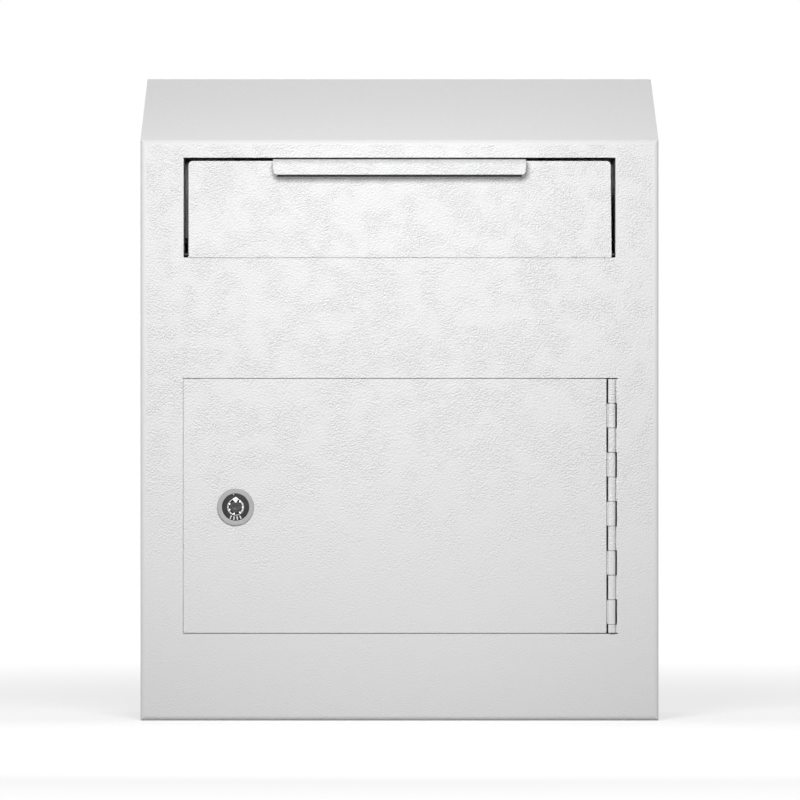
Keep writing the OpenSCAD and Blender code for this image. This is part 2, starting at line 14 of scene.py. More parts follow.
import bmesh
import bpy
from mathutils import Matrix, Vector


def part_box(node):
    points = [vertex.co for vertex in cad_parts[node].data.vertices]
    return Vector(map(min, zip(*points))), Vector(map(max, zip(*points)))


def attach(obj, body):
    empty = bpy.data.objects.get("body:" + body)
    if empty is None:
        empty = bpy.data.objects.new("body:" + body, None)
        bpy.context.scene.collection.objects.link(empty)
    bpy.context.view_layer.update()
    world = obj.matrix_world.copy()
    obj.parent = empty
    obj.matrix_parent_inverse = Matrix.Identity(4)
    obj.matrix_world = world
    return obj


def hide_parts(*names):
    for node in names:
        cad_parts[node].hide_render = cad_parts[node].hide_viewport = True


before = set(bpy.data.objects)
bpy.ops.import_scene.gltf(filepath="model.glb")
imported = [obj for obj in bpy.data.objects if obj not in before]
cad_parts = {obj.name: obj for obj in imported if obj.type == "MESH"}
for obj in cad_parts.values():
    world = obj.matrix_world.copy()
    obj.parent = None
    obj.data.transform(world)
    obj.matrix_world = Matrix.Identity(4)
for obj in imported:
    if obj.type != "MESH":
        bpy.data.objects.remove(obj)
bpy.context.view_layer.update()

LOG = logging.getLogger("key_drop_box")
MM = 0.001
SHARP_ANGLE = math.radians(38)
MERGE = 1e-6
MINOR_EDGE = 0.35

Point = tuple[float, float]
Setting = dict[str, object]
Colour = tuple[float, float, float, float]


class Body(Enum):
    """The CAD bodies that a piece may ride on."""

    CABINET = "cabinet"
    HOPPER = "hopper"
    DOOR = "door"
    CYLINDER = "lock_cylinder"


class Slot(Enum):
    """The material slots."""

    PAINT = "paint"
    STEEL = "steel"
    CHROME = "lock_chrome"
    DARK = "lock_dark"


def grey(tone: float, warm: float = 0.0) -> Colour:
    """A linear grey, with a little more red and less blue where warm is above 0."""
    return (tone * (1 + warm), tone, tone * (1 - warm), 1.0)


# Node trees


class Number:
    """A number in a node tree, on which Python's operators add Math nodes."""

    def __init__(self, tree: "Tree", socket: bpy.types.NodeSocket) -> None:
        """Wraps an output socket.

        Args:
            tree: the tree that the socket is in.
            socket: the output that carries the number.
        """
        self.tree = tree
        self.socket = socket

    def _math(self, operation: str, *values: object) -> "Number":
        """Adds one Math node.

        Args:
            operation: the node's operation.
            values: its inputs in order, numbers or wrapped sockets.

        Returns:
            The node's result.
        """
        inputs = dict(enumerate(values))
        node = self.tree.node("ShaderNodeMath", {"operation": operation}, inputs)
        return Number(self.tree, node.outputs[0])

    def __add__(self, other: object) -> "Number":
        """self + other"""
        return self._math("ADD", self, other)

    __radd__ = __add__

    def __sub__(self, other: object) -> "Number":
        """self - other"""
        return self._math("SUBTRACT", self, other)

    def __rsub__(self, other: object) -> "Number":
        """other - self"""
        return self._math("SUBTRACT", other, self)

    def __mul__(self, other: object) -> "Number":
        """self * other"""
        return self._math("MULTIPLY", self, other)

    __rmul__ = __mul__

    def __truediv__(self, other: object) -> "Number":
        """self / other"""
        return self._math("DIVIDE", self, other)

    def __pow__(self, other: object) -> "Number":
        """self to the power of other"""
        return self._math("POWER", self, other)

    def at_most(self, other: object) -> "Number":
        """The smaller of two numbers."""
        return self._math("MINIMUM", self, other)

    def at_least(self, other: object) -> "Number":
        """The larger of two numbers."""
        return self._math("MAXIMUM", self, other)

    def sine(self) -> "Number":
        """The sine of an angle in radians."""
        return self._math("SINE", self)

    def cosine(self) -> "Number":
        """The cosine of an angle in radians."""
        return self._math("COSINE", self)

    def fraction(self) -> "Number":
        """What is left above the whole number below."""
        return self._math("FRACT", self)

    def size(self) -> "Number":
        """The number without its sign."""
        return self._math("ABSOLUTE", self)

    def ramp(self, low: float, high: float, start: float = 0.0, end: float = 1.0) -> "Number":
        """Maps low..high smoothly onto start..end.

        Args:
            low: the value that gives start.
            high: the value that gives end.
            start: the result at and below low.
            end: the result at and above high.

        Returns:
            The mapped number.
        """
        node = self.tree.node(
            "ShaderNodeMapRange",
            {"interpolation_type": "SMOOTHSTEP"},
            {"Value": self, "From Min": low, "From Max": high, "To Min": start, "To Max": end},
        )
        return Number(self.tree, node.outputs["Result"])


class Tree:
    """A shader or geometry node tree, with one method that makes every node."""

    def __init__(self, tree: bpy.types.NodeTree) -> None:
        """Keeps the Blender tree that nodes are added to."""
        self.tree = tree

    def node(
        self, kind: str, settings: Setting | None = None, inputs: dict[int | str, object] | None = None
    ) -> bpy.types.Node:
        """Adds one node.

        Args:
            kind: Blender's name of the node type.
            settings: the node's own properties, set first; "stops" sets a colour ramp.
            inputs: values or links by the socket's name or number.

        Returns:
            The new node.
        """
        node = self.tree.nodes.new(kind)
        for name, value in (settings or {}).items():
            if name == "stops":
                self._set_stops(node, value)
            else:
                setattr(node, name, value)
        for key, value in (inputs or {}).items():
            source = value.socket if isinstance(value, Number) else value
            if isinstance(source, bpy.types.NodeSocket):
                self.tree.links.new(source, node.inputs[key])
            else:
                node.inputs[key].default_value = source
        return node

    @staticmethod
    def _set_stops(node: bpy.types.Node, stops: list[tuple[float, Colour]]) -> None:
        """Gives a colour ramp its stops."""
        elements = node.color_ramp.elements
        while len(elements) < len(stops):
            elements.new(1.0)
        for element, (place, colour) in zip(elements, stops):
            element.position = place
            element.color = colour

    def number(
        self, kind: str, settings: Setting | None = None,
        inputs: dict[int | str, object] | None = None, output: int | str = 0,
    ) -> Number:
        """Adds one node and wraps one of its outputs as a number.

        Args:
            kind: Blender's name of the node type.
            settings: the node's own properties.
            inputs: values or links by the socket's name or number.
            output: the name or number of the output to wrap.

        Returns:
            The wrapped output.
        """
        return Number(self, self.node(kind, settings, inputs).outputs[output])

    def noise(self, place: object, scale: float, detail: float = 2.0, warp: float = 0.0) -> Number:
        """A soft random pattern between 0 and 1.

        Args:
            place: the coordinates to read.
            scale: cells per metre.
            detail: how many finer layers are added.
            warp: how much the pattern is distorted.

        Returns:
            The pattern's value.
        """
        return self.number(
            "ShaderNodeTexNoise", None,
            {"Vector": place, "Scale": scale, "Detail": detail, "Distortion": warp}, "Fac",
        )

    def blend(self, share: object, first: Colour, second: Colour) -> bpy.types.NodeSocket:
        """Mixes two colours by a share from 0 to 1.

        Args:
            share: the part of the second colour.
            first: the colour at 0.
            second: the colour at 1.

        Returns:
            The mixed colour's socket.
        """
        node = self.node(
            "ShaderNodeMix", {"data_type": "RGBA"}, {"Factor": share, "A": first, "B": second})
        return node.outputs["Result"]

    def bump(self, height: Number, depth: float, strength: float = 1.0) -> bpy.types.NodeSocket:
        """Turns a height from 0 to 1 into a normal.

        Args:
            height: the height's pattern.
            depth: the height of 1 in metres.
            strength: the bump's share.

        Returns:
            The normal's socket.
        """
        node = self.node(
            "ShaderNodeBump", None, {"Height": height, "Distance": depth, "Strength": strength})
        return node.outputs["Normal"]


class SurfaceTree(Tree):
    """A material's tree with one Principled shader, ready for its patterns."""

    def __init__(self, name: str) -> None:
        """Makes the material.

        Args:
            name: the material's name.
        """
        self.material = bpy.data.materials.new(name)
        self.material.use_nodes = True
        super().__init__(self.material.node_tree)
        self.tree.nodes.clear()
        self.place = self.node("ShaderNodeTexCoord").outputs["Object"]
        self.shader = self.node("ShaderNodeBsdfPrincipled")
        self.node("ShaderNodeOutputMaterial", None, {"Surface": self.shader.outputs[0]})

    def set(self, **inputs: object) -> bpy.types.Material:
        """Sets or links the shader's sockets, and returns the material.

        Args:
            inputs: values or links by socket name, with _ for each space.

        Returns:
            The finished material.
        """
        for name, value in inputs.items():
            socket = self.shader.inputs[name.replace("_", " ")]
            source = value.socket if isinstance(value, Number) else value
            if isinstance(source, bpy.types.NodeSocket):
                self.tree.links.new(source, socket)
            else:
                socket.default_value = source
        return self.material

    def axes(self, centre: Vector | None = None) -> tuple[Number, Number, Number]:
        """The object coordinates as three numbers, from a centre if one is given.

        Args:
            centre: the point to count from.

        Returns:
            The x, y and z numbers.
        """
        place = self.place
        if centre is not None:
            shift = {"operation": "SUBTRACT"}
            moved = self.node("ShaderNodeVectorMath", shift, {0: place, 1: centre})
            place = moved.outputs[0]
        parts = self.node("ShaderNodeSeparateXYZ", None, {0: place}).outputs
        return Number(self, parts[0]), Number(self, parts[1]), Number(self, parts[2])


# Finishes


@dataclass(frozen=True)
class PowderCoat:
    """A light grey powder coat with a fine crinkle in patches.

    The crinkle is deepest high on the box and fades towards the bottom, and the
    coat lies smoother over the folds at the front's sides. Each small ridge has a
    painted highlight on its upper flank and painted shade on its lower one.
    """

    name: str
    tone: float = 0.80
    cell: float = 1.0 * MM
    relief: float = 0.65 * MM
    slant: float = 0.35
    stretch: float = 1.15
    painted_relief_light_step: float = 0.6 * MM
    painted_relief_light_share: float = 2.6
    darkest: float = 0.84
    lightest: float = 1.15
    least: float = 0.2
    fade_low: float = 31 * MM
    fade_high: float = 216 * MM
    patch_scale: float = 70.0
    smooth_patch: float = 0.5
    fold_start: float = 155.5 * MM
    fold_end: float = 157.5 * MM
    fold_depth: float = -73.0 * MM
    fold_relief: float = 0.05
    gloss_low: float = 0.44
    gloss_high: float = 0.60

    def material(self) -> bpy.types.Material:
        """Builds the coat's material."""
        tree = SurfaceTree(self.name)
        x, y, z = tree.axes()
        lanes = tree.node("ShaderNodeMapping", None, {
            "Vector": tree.place, "Rotation": Vector((0.0, self.slant, 0.0)),
            "Scale": Vector((1.0, 1.0, self.stretch))})
        # Painted light: the colour is lighter where a ridge faces up and darker where it faces down,
        # as light from above shades it.
        above = tree.node("ShaderNodeMapping", None, {
            "Vector": lanes.outputs[0], "Location": Vector((0.0, 0.0, self.painted_relief_light_step))})
        crinkle = tree.noise(lanes.outputs[0], 1 / self.cell, 0.0, 0.5)
        painted_relief_light = crinkle - tree.noise(above.outputs[0], 1 / self.cell, 0.0, 0.5)
        patch = tree.noise(tree.place, self.patch_scale, 2.0, 0.4)
        patch = patch.ramp(0.38, 0.60, self.smooth_patch, 1.0)
        height = z.ramp(self.fade_low, self.fade_high, self.least, 1.0)
        front = y.ramp(self.fold_depth, self.fold_depth + 2 * MM, 1.0, 0.0)
        fold = x.size().ramp(self.fold_start, self.fold_end, 0.0, 1 - self.fold_relief) * front
        depth = patch * height * (1 - fold)
        cloud = tree.noise(tree.place, 7.0, 1.0)
        share = painted_relief_light * depth * self.painted_relief_light_share + cloud * 0.12 + 0.44
        colour = tree.blend(
            share, grey(self.tone * self.darkest), grey(self.tone * self.lightest))
        rough = crinkle * (self.gloss_low - self.gloss_high) + self.gloss_high
        normal = tree.bump((crinkle - 0.5) * depth, self.relief)
        return tree.set(Base_Color=colour, Roughness=rough, Normal=normal)


@dataclass(frozen=True)
class PlatedSteel:
    """Zinc plated steel with faint clouding, fine scratches and duller spots."""

    name: str
    tone: float = 0.56
    roughness: float = 0.34
    cloud_scale: float = 260.0
    scratch_scale: float = 900.0
    scratch_stretch: float = 14.0
    relief: float = 0.02 * MM

    def material(self) -> bpy.types.Material:
        """Builds the plated steel's material."""
        tree = SurfaceTree(self.name)
        cloud = tree.noise(tree.place, self.cloud_scale, 3.0, 0.6)
        stretch = Vector((1.0, 1.0, self.scratch_stretch))
        lanes = tree.node("ShaderNodeMapping", None, {"Vector": tree.place, "Scale": stretch})
        scratch = tree.noise(lanes.outputs[0], self.scratch_scale, 1.5).ramp(0.35, 0.65)
        spots = tree.noise(tree.place, 1400.0, 1.0).ramp(0.62, 0.75)
        colour = tree.blend(
            cloud.ramp(0.3, 0.7) * 0.75 + scratch * 0.25,
            grey(self.tone * 0.78, 0.015), grey(self.tone * 1.12, -0.012))
        rough = cloud * 0.18 + scratch * 0.07 + spots * 0.1 + (self.roughness - 0.13)
        normal = tree.bump(scratch * 0.6 + cloud * 0.4, self.relief)
        return tree.set(Base_Color=colour, Roughness=rough, Metallic=1.0, Normal=normal)


@dataclass(frozen=True)
class TurnedMetal:
    """Metal with the fine rings that a lathe leaves round an axis along Y."""

    name: str
    centre: tuple[float, float, float]
    tone: float = 0.46
    roughness: float = 0.42
    ring_pitch: float = 0.28 * MM
    relief: float = 0.012 * MM

    def material(self) -> bpy.types.Material:
        """Builds the turned metal's material."""
        tree = SurfaceTree(self.name)
        x, _, z = tree.axes(Vector(self.centre))
        radius = (x * x + z * z) ** 0.5
        drift = tree.noise(tree.place, 300.0, 2.0)
        rings = (radius * (math.tau / self.ring_pitch) + drift * 5.0).sine() * 0.5 + 0.5
        grain = tree.noise(tree.place, 2600.0, 2.0)
        share = rings * 0.35 + drift * 0.35 + grain * 0.3
        colour = tree.blend(share, grey(self.tone * 0.86), grey(self.tone * 1.13, 0.01))
        rough = grain * 0.14 + drift * 0.1 + (self.roughness - 0.12)
        normal = tree.bump(rings * 0.6 + grain * 0.4, self.relief)
        return tree.set(Base_Color=colour, Roughness=rough, Metallic=1.0, Normal=normal)


@dataclass(frozen=True)
class DarkEnamel:
    """Dark satin enamel with a fine grain, faint dust and, on the post, rubbed rings."""

    name: str
    centre: tuple[float, float, float]
    tone: float = 0.024
    roughness: float = 0.45
    relief: float = 0.02 * MM
    shine: float = 0.28
    ring_pitch: float = 1.1 * MM
    ring_share: float = 0.0

    def material(self) -> bpy.types.Material:
        """Builds the enamel's material."""
        tree = SurfaceTree(self.name)
        grain = tree.noise(tree.place, 1900.0, 3.0)
        dust = tree.noise(tree.place, 620.0, 2.0, 1.0).ramp(0.46, 0.74)
        x, _, z = tree.axes(Vector(self.centre))
        radius = (x * x + z * z) ** 0.5 + tree.noise(tree.place, 420.0, 1.0) * self.ring_pitch
        rings = (radius * (math.tau / self.ring_pitch)).sine() * 0.5 + 0.5
        share = dust * 0.6 + grain * 0.25 + rings * self.ring_share
        colour = tree.blend(share, grey(self.tone * 0.6), grey(self.tone * 2.6))
        rough = grain * 0.16 + dust * 0.12 + (self.roughness - 0.1)
        return tree.set(
            Base_Color=colour, Roughness=rough, Specular_IOR_Level=self.shine,
            Normal=tree.bump(grain, self.relief))


@dataclass(frozen=True)
class PaleFill:
    """Matt light paint in small recessed marks."""

    name: str
    tone: float = 0.86

    def material(self) -> bpy.types.Material:
        """Builds the paint's material."""
        tree = SurfaceTree(self.name)
        grain = tree.noise(tree.place, 3200.0, 2.0)
        colour = tree.blend(grain, grey(self.tone * 0.8), grey(self.tone * 1.1))
        normal = tree.bump(grain, 0.01 * MM)
        return tree.set(Base_Color=colour, Roughness=grain * 0.2 + 0.5, Normal=normal)


# Meshes


def piece_from(name: str, shape: bmesh.types.BMesh, material: bpy.types.Material) -> bpy.types.Object:
    """Turns a finished bmesh into an object with one material.

    Args:
        name: the piece's name.
        shape: the bmesh, which is freed.
        material: the piece's material.

    Returns:
        The new object, linked to the scene.
    """
    mesh = bpy.data.meshes.new(name)
    shape.to_mesh(mesh)
    shape.free()
    mesh.materials.append(material)
    piece = bpy.data.objects.new(name, mesh)
    bpy.context.scene.collection.objects.link(piece)
    return piece


def keep_result(piece: bpy.types.Object) -> None:
    """Replaces a piece's mesh by what its modifiers make of it."""
    bpy.context.view_layer.update()
    graph = bpy.context.evaluated_depsgraph_get()
    mesh = bpy.data.meshes.new_from_object(
        piece.evaluated_get(graph), preserve_all_data_layers=True, depsgraph=graph)
    piece.modifiers.clear()
    piece.data = mesh
    mesh.name = piece.name


def add_even_normals(piece: bpy.types.Object) -> None:
    """Adds the modifier that keeps flat faces flat beside rounded edges."""
    normals = piece.modifiers.new("normals", "WEIGHTED_NORMAL")
    normals.keep_sharp = True


def settle(piece: bpy.types.Object, smooth: bool = True) -> bpy.types.Object:
    """Applies a piece's modifiers and shades it, with sharp edges kept sharp.

    Args:
        piece: the object to finish.
        smooth: marks edges sharp by angle, for a piece without its own normals.

    Returns:
        The same object, with a plain mesh and no modifiers.
    """
    keep_result(piece)
    if smooth:
        piece.data.shade_smooth()
        piece.data.set_sharp_from_angle(angle=SHARP_ANGLE)
        add_even_normals(piece)
        keep_result(piece)
    return piece


def bevel(piece: bpy.types.Object, width: float, steps: int = 2, angle: float = 32) -> None:
    """Rounds a piece's edges, as paint and a deburring wheel do.

    Args:
        piece: the object that gets the modifiers.
        width: the bevel's width in metres.
        steps: how many faces cross the bevel.
        angle: edges sharper than this many degrees are rounded.
    """
    piece.data.shade_smooth()
    rounding = piece.modifiers.new("edges", "BEVEL")
    rounding.width = width
    rounding.segments = steps
    rounding.limit_method = "ANGLE"
    rounding.angle_limit = math.radians(angle)
    rounding.use_clamp_overlap = True
    add_even_normals(piece)


def weigh_edges(piece: bpy.types.Object, chosen: Callable[[Vector], bool], share: float) -> None:
    """Gives the chosen sharp edges a bevel's full width, and the others a share of it.

    Args:
        piece: the object, with its bevel modifier.
        chosen: tells of a point whether edges there get the full width.
        share: the part of the width that the other sharp edges get.
    """
    rounding = piece.modifiers["edges"]
    shape = bmesh.new()
    shape.from_mesh(piece.data)
    weight = shape.edges.layers.float.new("bevel_weight_edge")
    for edge in shape.edges:
        if edge.is_manifold and edge.calc_face_angle() > rounding.angle_limit:
            edge[weight] = 1.0 if all(chosen(vert.co) for vert in edge.verts) else share
    shape.to_mesh(piece.data)
    shape.free()
    rounding.limit_method = "WEIGHT"


def softened(
    node: str, material: bpy.types.Material, width: float, steps: int = 2,
    chosen: Callable[[Vector], bool] | None = None,
) -> bpy.types.Object:
    """Copies a CAD node's mesh and rounds its edges.

    Args:
        node: the CAD node to copy.
        material: the copy's material.
        width: the bevel's width in metres.
        steps: how many faces cross the bevel.
        chosen: tells where edges get the full width, if not everywhere.

    Returns:
        The finished piece.
    """
    shape = bmesh.new()
    shape.from_mesh(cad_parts[node].data)
    bmesh.ops.remove_doubles(shape, verts=shape.verts, dist=MERGE)
    bmesh.ops.dissolve_limit(
        shape, angle_limit=math.radians(0.6), verts=shape.verts, edges=shape.edges)
    piece = piece_from(f"{node}_dressed", shape, material)
    bevel(piece, width, steps)
    if chosen:
        weigh_edges(piece, chosen, MINOR_EDGE)
    return settle(piece, smooth=False)


def arc(centre: Point, radius: float, start: float, end: float, steps: int) -> list[Point]:
    """Points on an arc, its ends included.

    Args:
        centre: the arc's centre.
        radius: its radius.
        start: the first angle in degrees.
        end: the last angle in degrees.
        steps: how many chords it has.

    Returns:
        The points from start to end.
    """
    turns = [math.radians(start + (end - start) * i / steps) for i in range(steps + 1)]
    return [(centre[0] + radius * math.cos(a), centre[1] + radius * math.sin(a)) for a in turns]


def rounded_path(corners: list[Point], radii: list[float], steps: int = 6) -> list[Point]:
    """An open path through corners, each rounded by its own radius.

    Args:
        corners: the path's corners, its ends included.
        radii: one radius for each corner between the ends.
        steps: how many chords a corner has.

    Returns:
        The path's points.
    """
    path = [corners[0]]
    for i, radius in enumerate(radii, start=1):
        here = Vector(corners[i])
        back = (Vector(corners[i - 1]) - here).normalized()
        ahead = (Vector(corners[i + 1]) - here).normalized()
        half = back.angle(ahead) / 2
        reach = radius / math.tan(half)
        centre = here + (back + ahead).normalized() * radius / math.sin(half)
        first, last = here + back * reach - centre, here + ahead * reach - centre
        start = math.atan2(first.y, first.x)
        turn = math.remainder(math.atan2(last.y, last.x) - start, math.tau)
        path += arc(tuple(centre), radius, math.degrees(start), math.degrees(start + turn), steps)
    path.append(corners[-1])
    return path


def both_sides(path: list[Point], thickness: float) -> tuple[list[Point], list[Point]]:
    """The two faces of a sheet whose middle follows a path.

    Args:
        path: the middle line.
        thickness: the sheet's thickness.

    Returns:
        The left face's points and the right face's.
    """
    points = [Vector(p) for p in path]
    left, right = [], []
    for i, point in enumerate(points):
        before = (point - points[max(i - 1, 0)]).normalized()
        after = (points[min(i + 1, len(points) - 1)] - point).normalized()
        along = (before + after).normalized()
        lead = before if before.length else after
        normal = Vector((-along.y, along.x))
        straight = Vector((-lead.y, lead.x))
        shift = normal * (thickness / 2 / max(normal.dot(straight), 0.5))
        left.append(tuple(point + shift))
        right.append(tuple(point - shift))
    return left, right


def prism(outline: list[Point], low: float, high: float, along: str) -> bmesh.types.BMesh:
    """Extrudes a closed outline along one axis.

    Args:
        outline: the points, in the order of the two other axes.
        low: where the prism starts.
        high: where it ends.
        along: "X", "Y" or "Z".

    Returns:
        The closed shape.
    """
    order = {"X": lambda u, v, w: (w, u, v), "Y": lambda u, v, w: (u, w, v),
             "Z": lambda u, v, w: (u, v, w)}[along]
    shape = bmesh.new()
    near = [shape.verts.new(order(u, v, low)) for u, v in outline]
    far = [shape.verts.new(order(u, v, high)) for u, v in outline]
    count = len(outline)
    for i in range(count):
        j = (i + 1) % count
        shape.faces.new((near[i], near[j], far[j], far[i]))
    shape.faces.new(near)
    shape.faces.new(far)
    bmesh.ops.recalc_face_normals(shape, faces=shape.faces)
    return shape


def ring_shape(
    profile: list[Point], centre: Point, steps: int,
    stretch: Callable[[float, float], float] | None = None,
) -> bmesh.types.BMesh:
    """Turns a profile round an axis along Y.

    Args:
        profile: (radius, y) points; it closes on itself unless an end is on the axis.
        centre: the axis's x and z.
        steps: how many faces go round.
        stretch: gives the radius from the profile's radius and the angle, where it isn't round.

    Returns:
        The closed shape.
    """
    shape = bmesh.new()
    closed = profile[0][0] > 0 and profile[-1][0] > 0
    rows = []
    for radius, y in profile:
        if radius <= 0:
            rows.append([shape.verts.new((centre[0], y, centre[1]))])
            continue
        row = []
        for i in range(steps):
            turn = math.tau * i / steps
            reach = stretch(radius, turn) if stretch else radius
            row.append(shape.verts.new(
                (centre[0] + reach * math.cos(turn), y, centre[1] + reach * math.sin(turn))))
        rows.append(row)
    for k in range(len(rows) if closed else len(rows) - 1):
        first, second = rows[k], rows[(k + 1) % len(rows)]
        for i in range(steps):
            j = (i + 1) % steps
            loop = [first[i % len(first)], first[j % len(first)],
                    second[j % len(second)], second[i % len(second)]]
            unique = list(dict.fromkeys(loop))
            if len(unique) > 2:
                shape.faces.new(unique)
    bmesh.ops.remove_doubles(shape, verts=shape.verts, dist=MERGE)
    bmesh.ops.recalc_face_normals(shape, faces=shape.faces)
    return shape


def place(piece: bpy.types.Object, body: Body, slot: Slot, *nodes: str) -> bpy.types.Object:
    """Makes a finished piece ride on its body and stand for its CAD nodes.

    Args:
        piece: the finished object.
        body: the body that it moves with.
        slot: the material slot that its finish belongs to; not used.
        nodes: the CAD nodes that it stands for.

    Returns:
        The same piece.
    """
    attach(piece, body.value)
    if nodes:
        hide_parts(*nodes)
    LOG.info("%s rides on %s, %d faces", piece.name, body.value, len(piece.data.polygons))
    return piece


# Geometry nodes


class PatternTree(Tree):
    """A geometry node group with named inputs, used as a modifier."""

    def __init__(self, name: str, sockets: dict[str, str]) -> None:
        """Makes the group.

        Args:
            name: the group's name.
            sockets: the type of each input beside the geometry, by its name.
        """
        group = bpy.data.node_groups.new(name, "GeometryNodeTree")
        super().__init__(group)
        group.interface.new_socket("Geometry", in_out="INPUT", socket_type="NodeSocketGeometry")
        group.interface.new_socket("Geometry", in_out="OUTPUT", socket_type="NodeSocketGeometry")
        self.keys: dict[str, str] = {}
        for label, kind in {**sockets, "Material": "NodeSocketMaterial"}.items():
            made = group.interface.new_socket(label, in_out="INPUT", socket_type=kind)
            self.keys[label] = made.identifier
        self.inputs = self.node("NodeGroupInput").outputs

    def value(self, label: str) -> Number:
        """One of the group's number inputs, wrapped."""
        return Number(self, self.inputs[label])

    def close(self, geometry: bpy.types.NodeSocket) -> None:
        """Ends the tree in Realize Instances and Set Material."""
        real = self.node("GeometryNodeRealizeInstances", None, {"Geometry": geometry})
        dressed = self.node(
            "GeometryNodeSetMaterial", None,
            {"Geometry": real.outputs[0], "Material": self.inputs["Material"]})
        self.node("NodeGroupOutput", None, {0: dressed.outputs[0]})

    def grow(self, piece: bpy.types.Object, values: dict[str, object]) -> bpy.types.Object:
        """Runs the group on a piece and keeps the result as its mesh.

        Args:
            piece: the object whose mesh the pattern starts from.
            values: the group's inputs by name.

        Returns:
            The same piece, finished.
        """
        modifier = piece.modifiers.new(self.tree.name, "NODES")
        modifier.node_group = self.tree
        for label, value in values.items():
            modifier[self.keys[label]] = value
        return settle(piece)


class RowPattern(PatternTree):
    """Copies of a shape at equal steps, the last one cut short where the row ends."""

    def __init__(self) -> None:
        """Builds the tree: a line of points with the shape on each."""
        super().__init__("row", {
            "Count": "NodeSocketInt", "Start": "NodeSocketVector", "Step": "NodeSocketVector",
            "Pitch": "NodeSocketFloat", "Length": "NodeSocketFloat", "Reach": "NodeSocketFloat"})
        line = self.node(
            "GeometryNodeMeshLine", {"mode": "OFFSET"},
            {"Count": self.inputs["Count"], "Start Location": self.inputs["Start"],
             "Offset": self.inputs["Step"]})
        index = self.number("GeometryNodeInputIndex")
        left = self.value("Reach") - index * self.value("Pitch")
        share = (left / self.value("Length")).at_most(1.0)
        scale = self.node("ShaderNodeCombineXYZ", None, {0: 1.0, 1: 1.0, 2: share})
        copies = self.node(
            "GeometryNodeInstanceOnPoints", None,
            {"Points": line.outputs[0], "Instance": self.inputs["Geometry"],
             "Scale": scale.outputs[0]})
        self.close(copies.outputs[0])


class RoundPattern(PatternTree):
    """Copies of a shape turned by equal steps round an axis along Y."""

    def __init__(self) -> None:
        """Builds the tree: points on the axis, each with the shape turned further."""
        super().__init__("round", {
            "Count": "NodeSocketInt", "Centre": "NodeSocketVector",
            "First": "NodeSocketFloat", "Turn": "NodeSocketFloat"})
        line = self.node(
            "GeometryNodeMeshLine", {"mode": "OFFSET"},
            {"Count": self.inputs["Count"], "Start Location": self.inputs["Centre"],
             "Offset": Vector((0, 0, 0))})
        index = self.number("GeometryNodeInputIndex")
        turn = self.value("First") + index * self.value("Turn")
        rotation = self.node("ShaderNodeCombineXYZ", None, {0: 0.0, 1: turn, 2: 0.0})
        copies = self.node(
            "GeometryNodeInstanceOnPoints", None,
            {"Points": line.outputs[0], "Instance": self.inputs["Geometry"],
             "Rotation": rotation.outputs[0]})
        self.close(copies.outputs[0])


class BeadPattern(PatternTree):
    """A weld bead: overlapping drops on a line, each a little different."""

    def __init__(self) -> None:
        """Builds the tree: a line of drops with seeded sizes and offsets."""
        super().__init__("bead", {
            "Count": "NodeSocketInt", "Start": "NodeSocketVector", "Step": "NodeSocketVector",
            "Seed": "NodeSocketInt"})
        line = self.node(
            "GeometryNodeMeshLine", {"mode": "OFFSET"},
            {"Count": self.inputs["Count"], "Start Location": self.inputs["Start"],
             "Offset": self.inputs["Step"]})
        size = self.node(
            "FunctionNodeRandomValue", {"data_type": "FLOAT"},
            {2: 0.82, 3: 1.08, "Seed": self.inputs["Seed"]})
        spin = self.node(
            "FunctionNodeRandomValue", {"data_type": "FLOAT_VECTOR"},
            {0: Vector((-0.12, -0.12, -0.12)), 1: Vector((0.12, 0.12, 0.12)),
             "Seed": self.inputs["Seed"]})
        copies = self.node(
            "GeometryNodeInstanceOnPoints", None,
            {"Points": line.outputs[0], "Instance": self.inputs["Geometry"],
             "Rotation": spin.outputs[0], "Scale": size.outputs[1]})
        self.close(copies.outputs[0])


class ThreadPattern(PatternTree):
    """A screw thread on a barrel with two flats: the surface follows one formula."""

    def __init__(self) -> None:
        """Builds the tree: a flat grid that is rolled up and cut to the flats."""
        super().__init__("thread", {
            "Centre": "NodeSocketVector", "Radius": "NodeSocketFloat", "Depth": "NodeSocketFloat",
            "Pitch": "NodeSocketFloat", "Length": "NodeSocketFloat", "Flat": "NodeSocketFloat",
            "Around": "NodeSocketInt", "Along": "NodeSocketInt"})
        grid = self.node(
            "GeometryNodeMeshGrid", None,
            {"Size X": 1.0, "Size Y": 1.0, "Vertices X": self.inputs["Around"],
             "Vertices Y": self.inputs["Along"]})
        flat = self.node("GeometryNodeInputPosition").outputs[0]
        parts = self.node("ShaderNodeSeparateXYZ", None, {0: flat}).outputs
        share, run = Number(self, parts[0]) + 0.5, Number(self, parts[1]) + 0.5
        along = run * self.value("Length")
        phase = (along / self.value("Pitch") + share).fraction()
        tooth = (phase - 0.5).size() * 2
        ends = (run * 30).at_most((1 - run) * 30).at_most(1.0)
        radius = self.value("Radius") - self.value("Depth") * (1 - tooth * ends)
        x = (share * math.tau).cosine() * radius
        z = (share * math.tau).sine() * radius
        inside = x.at_most(self.value("Flat")).at_least(0 - self.value("Flat"))
        rolled = self.node("ShaderNodeCombineXYZ", None, {0: inside, 1: along, 2: z})
        moved = self.node(
            "ShaderNodeVectorMath", {"operation": "ADD"},
            {0: rolled.outputs[0], 1: self.inputs["Centre"]})
        surface = self.node(
            "GeometryNodeSetPosition", None,
            {"Geometry": grid.outputs[0], "Position": moved.outputs[0]})
        joined = self.node(
            "GeometryNodeMergeByDistance", None,
            {"Geometry": surface.outputs[0], "Distance": MERGE})
        outward = self.node("GeometryNodeFlipFaces", None, {"Mesh": joined.outputs[0]})
        self.close(outward.outputs[0])


# Sub-assemblies


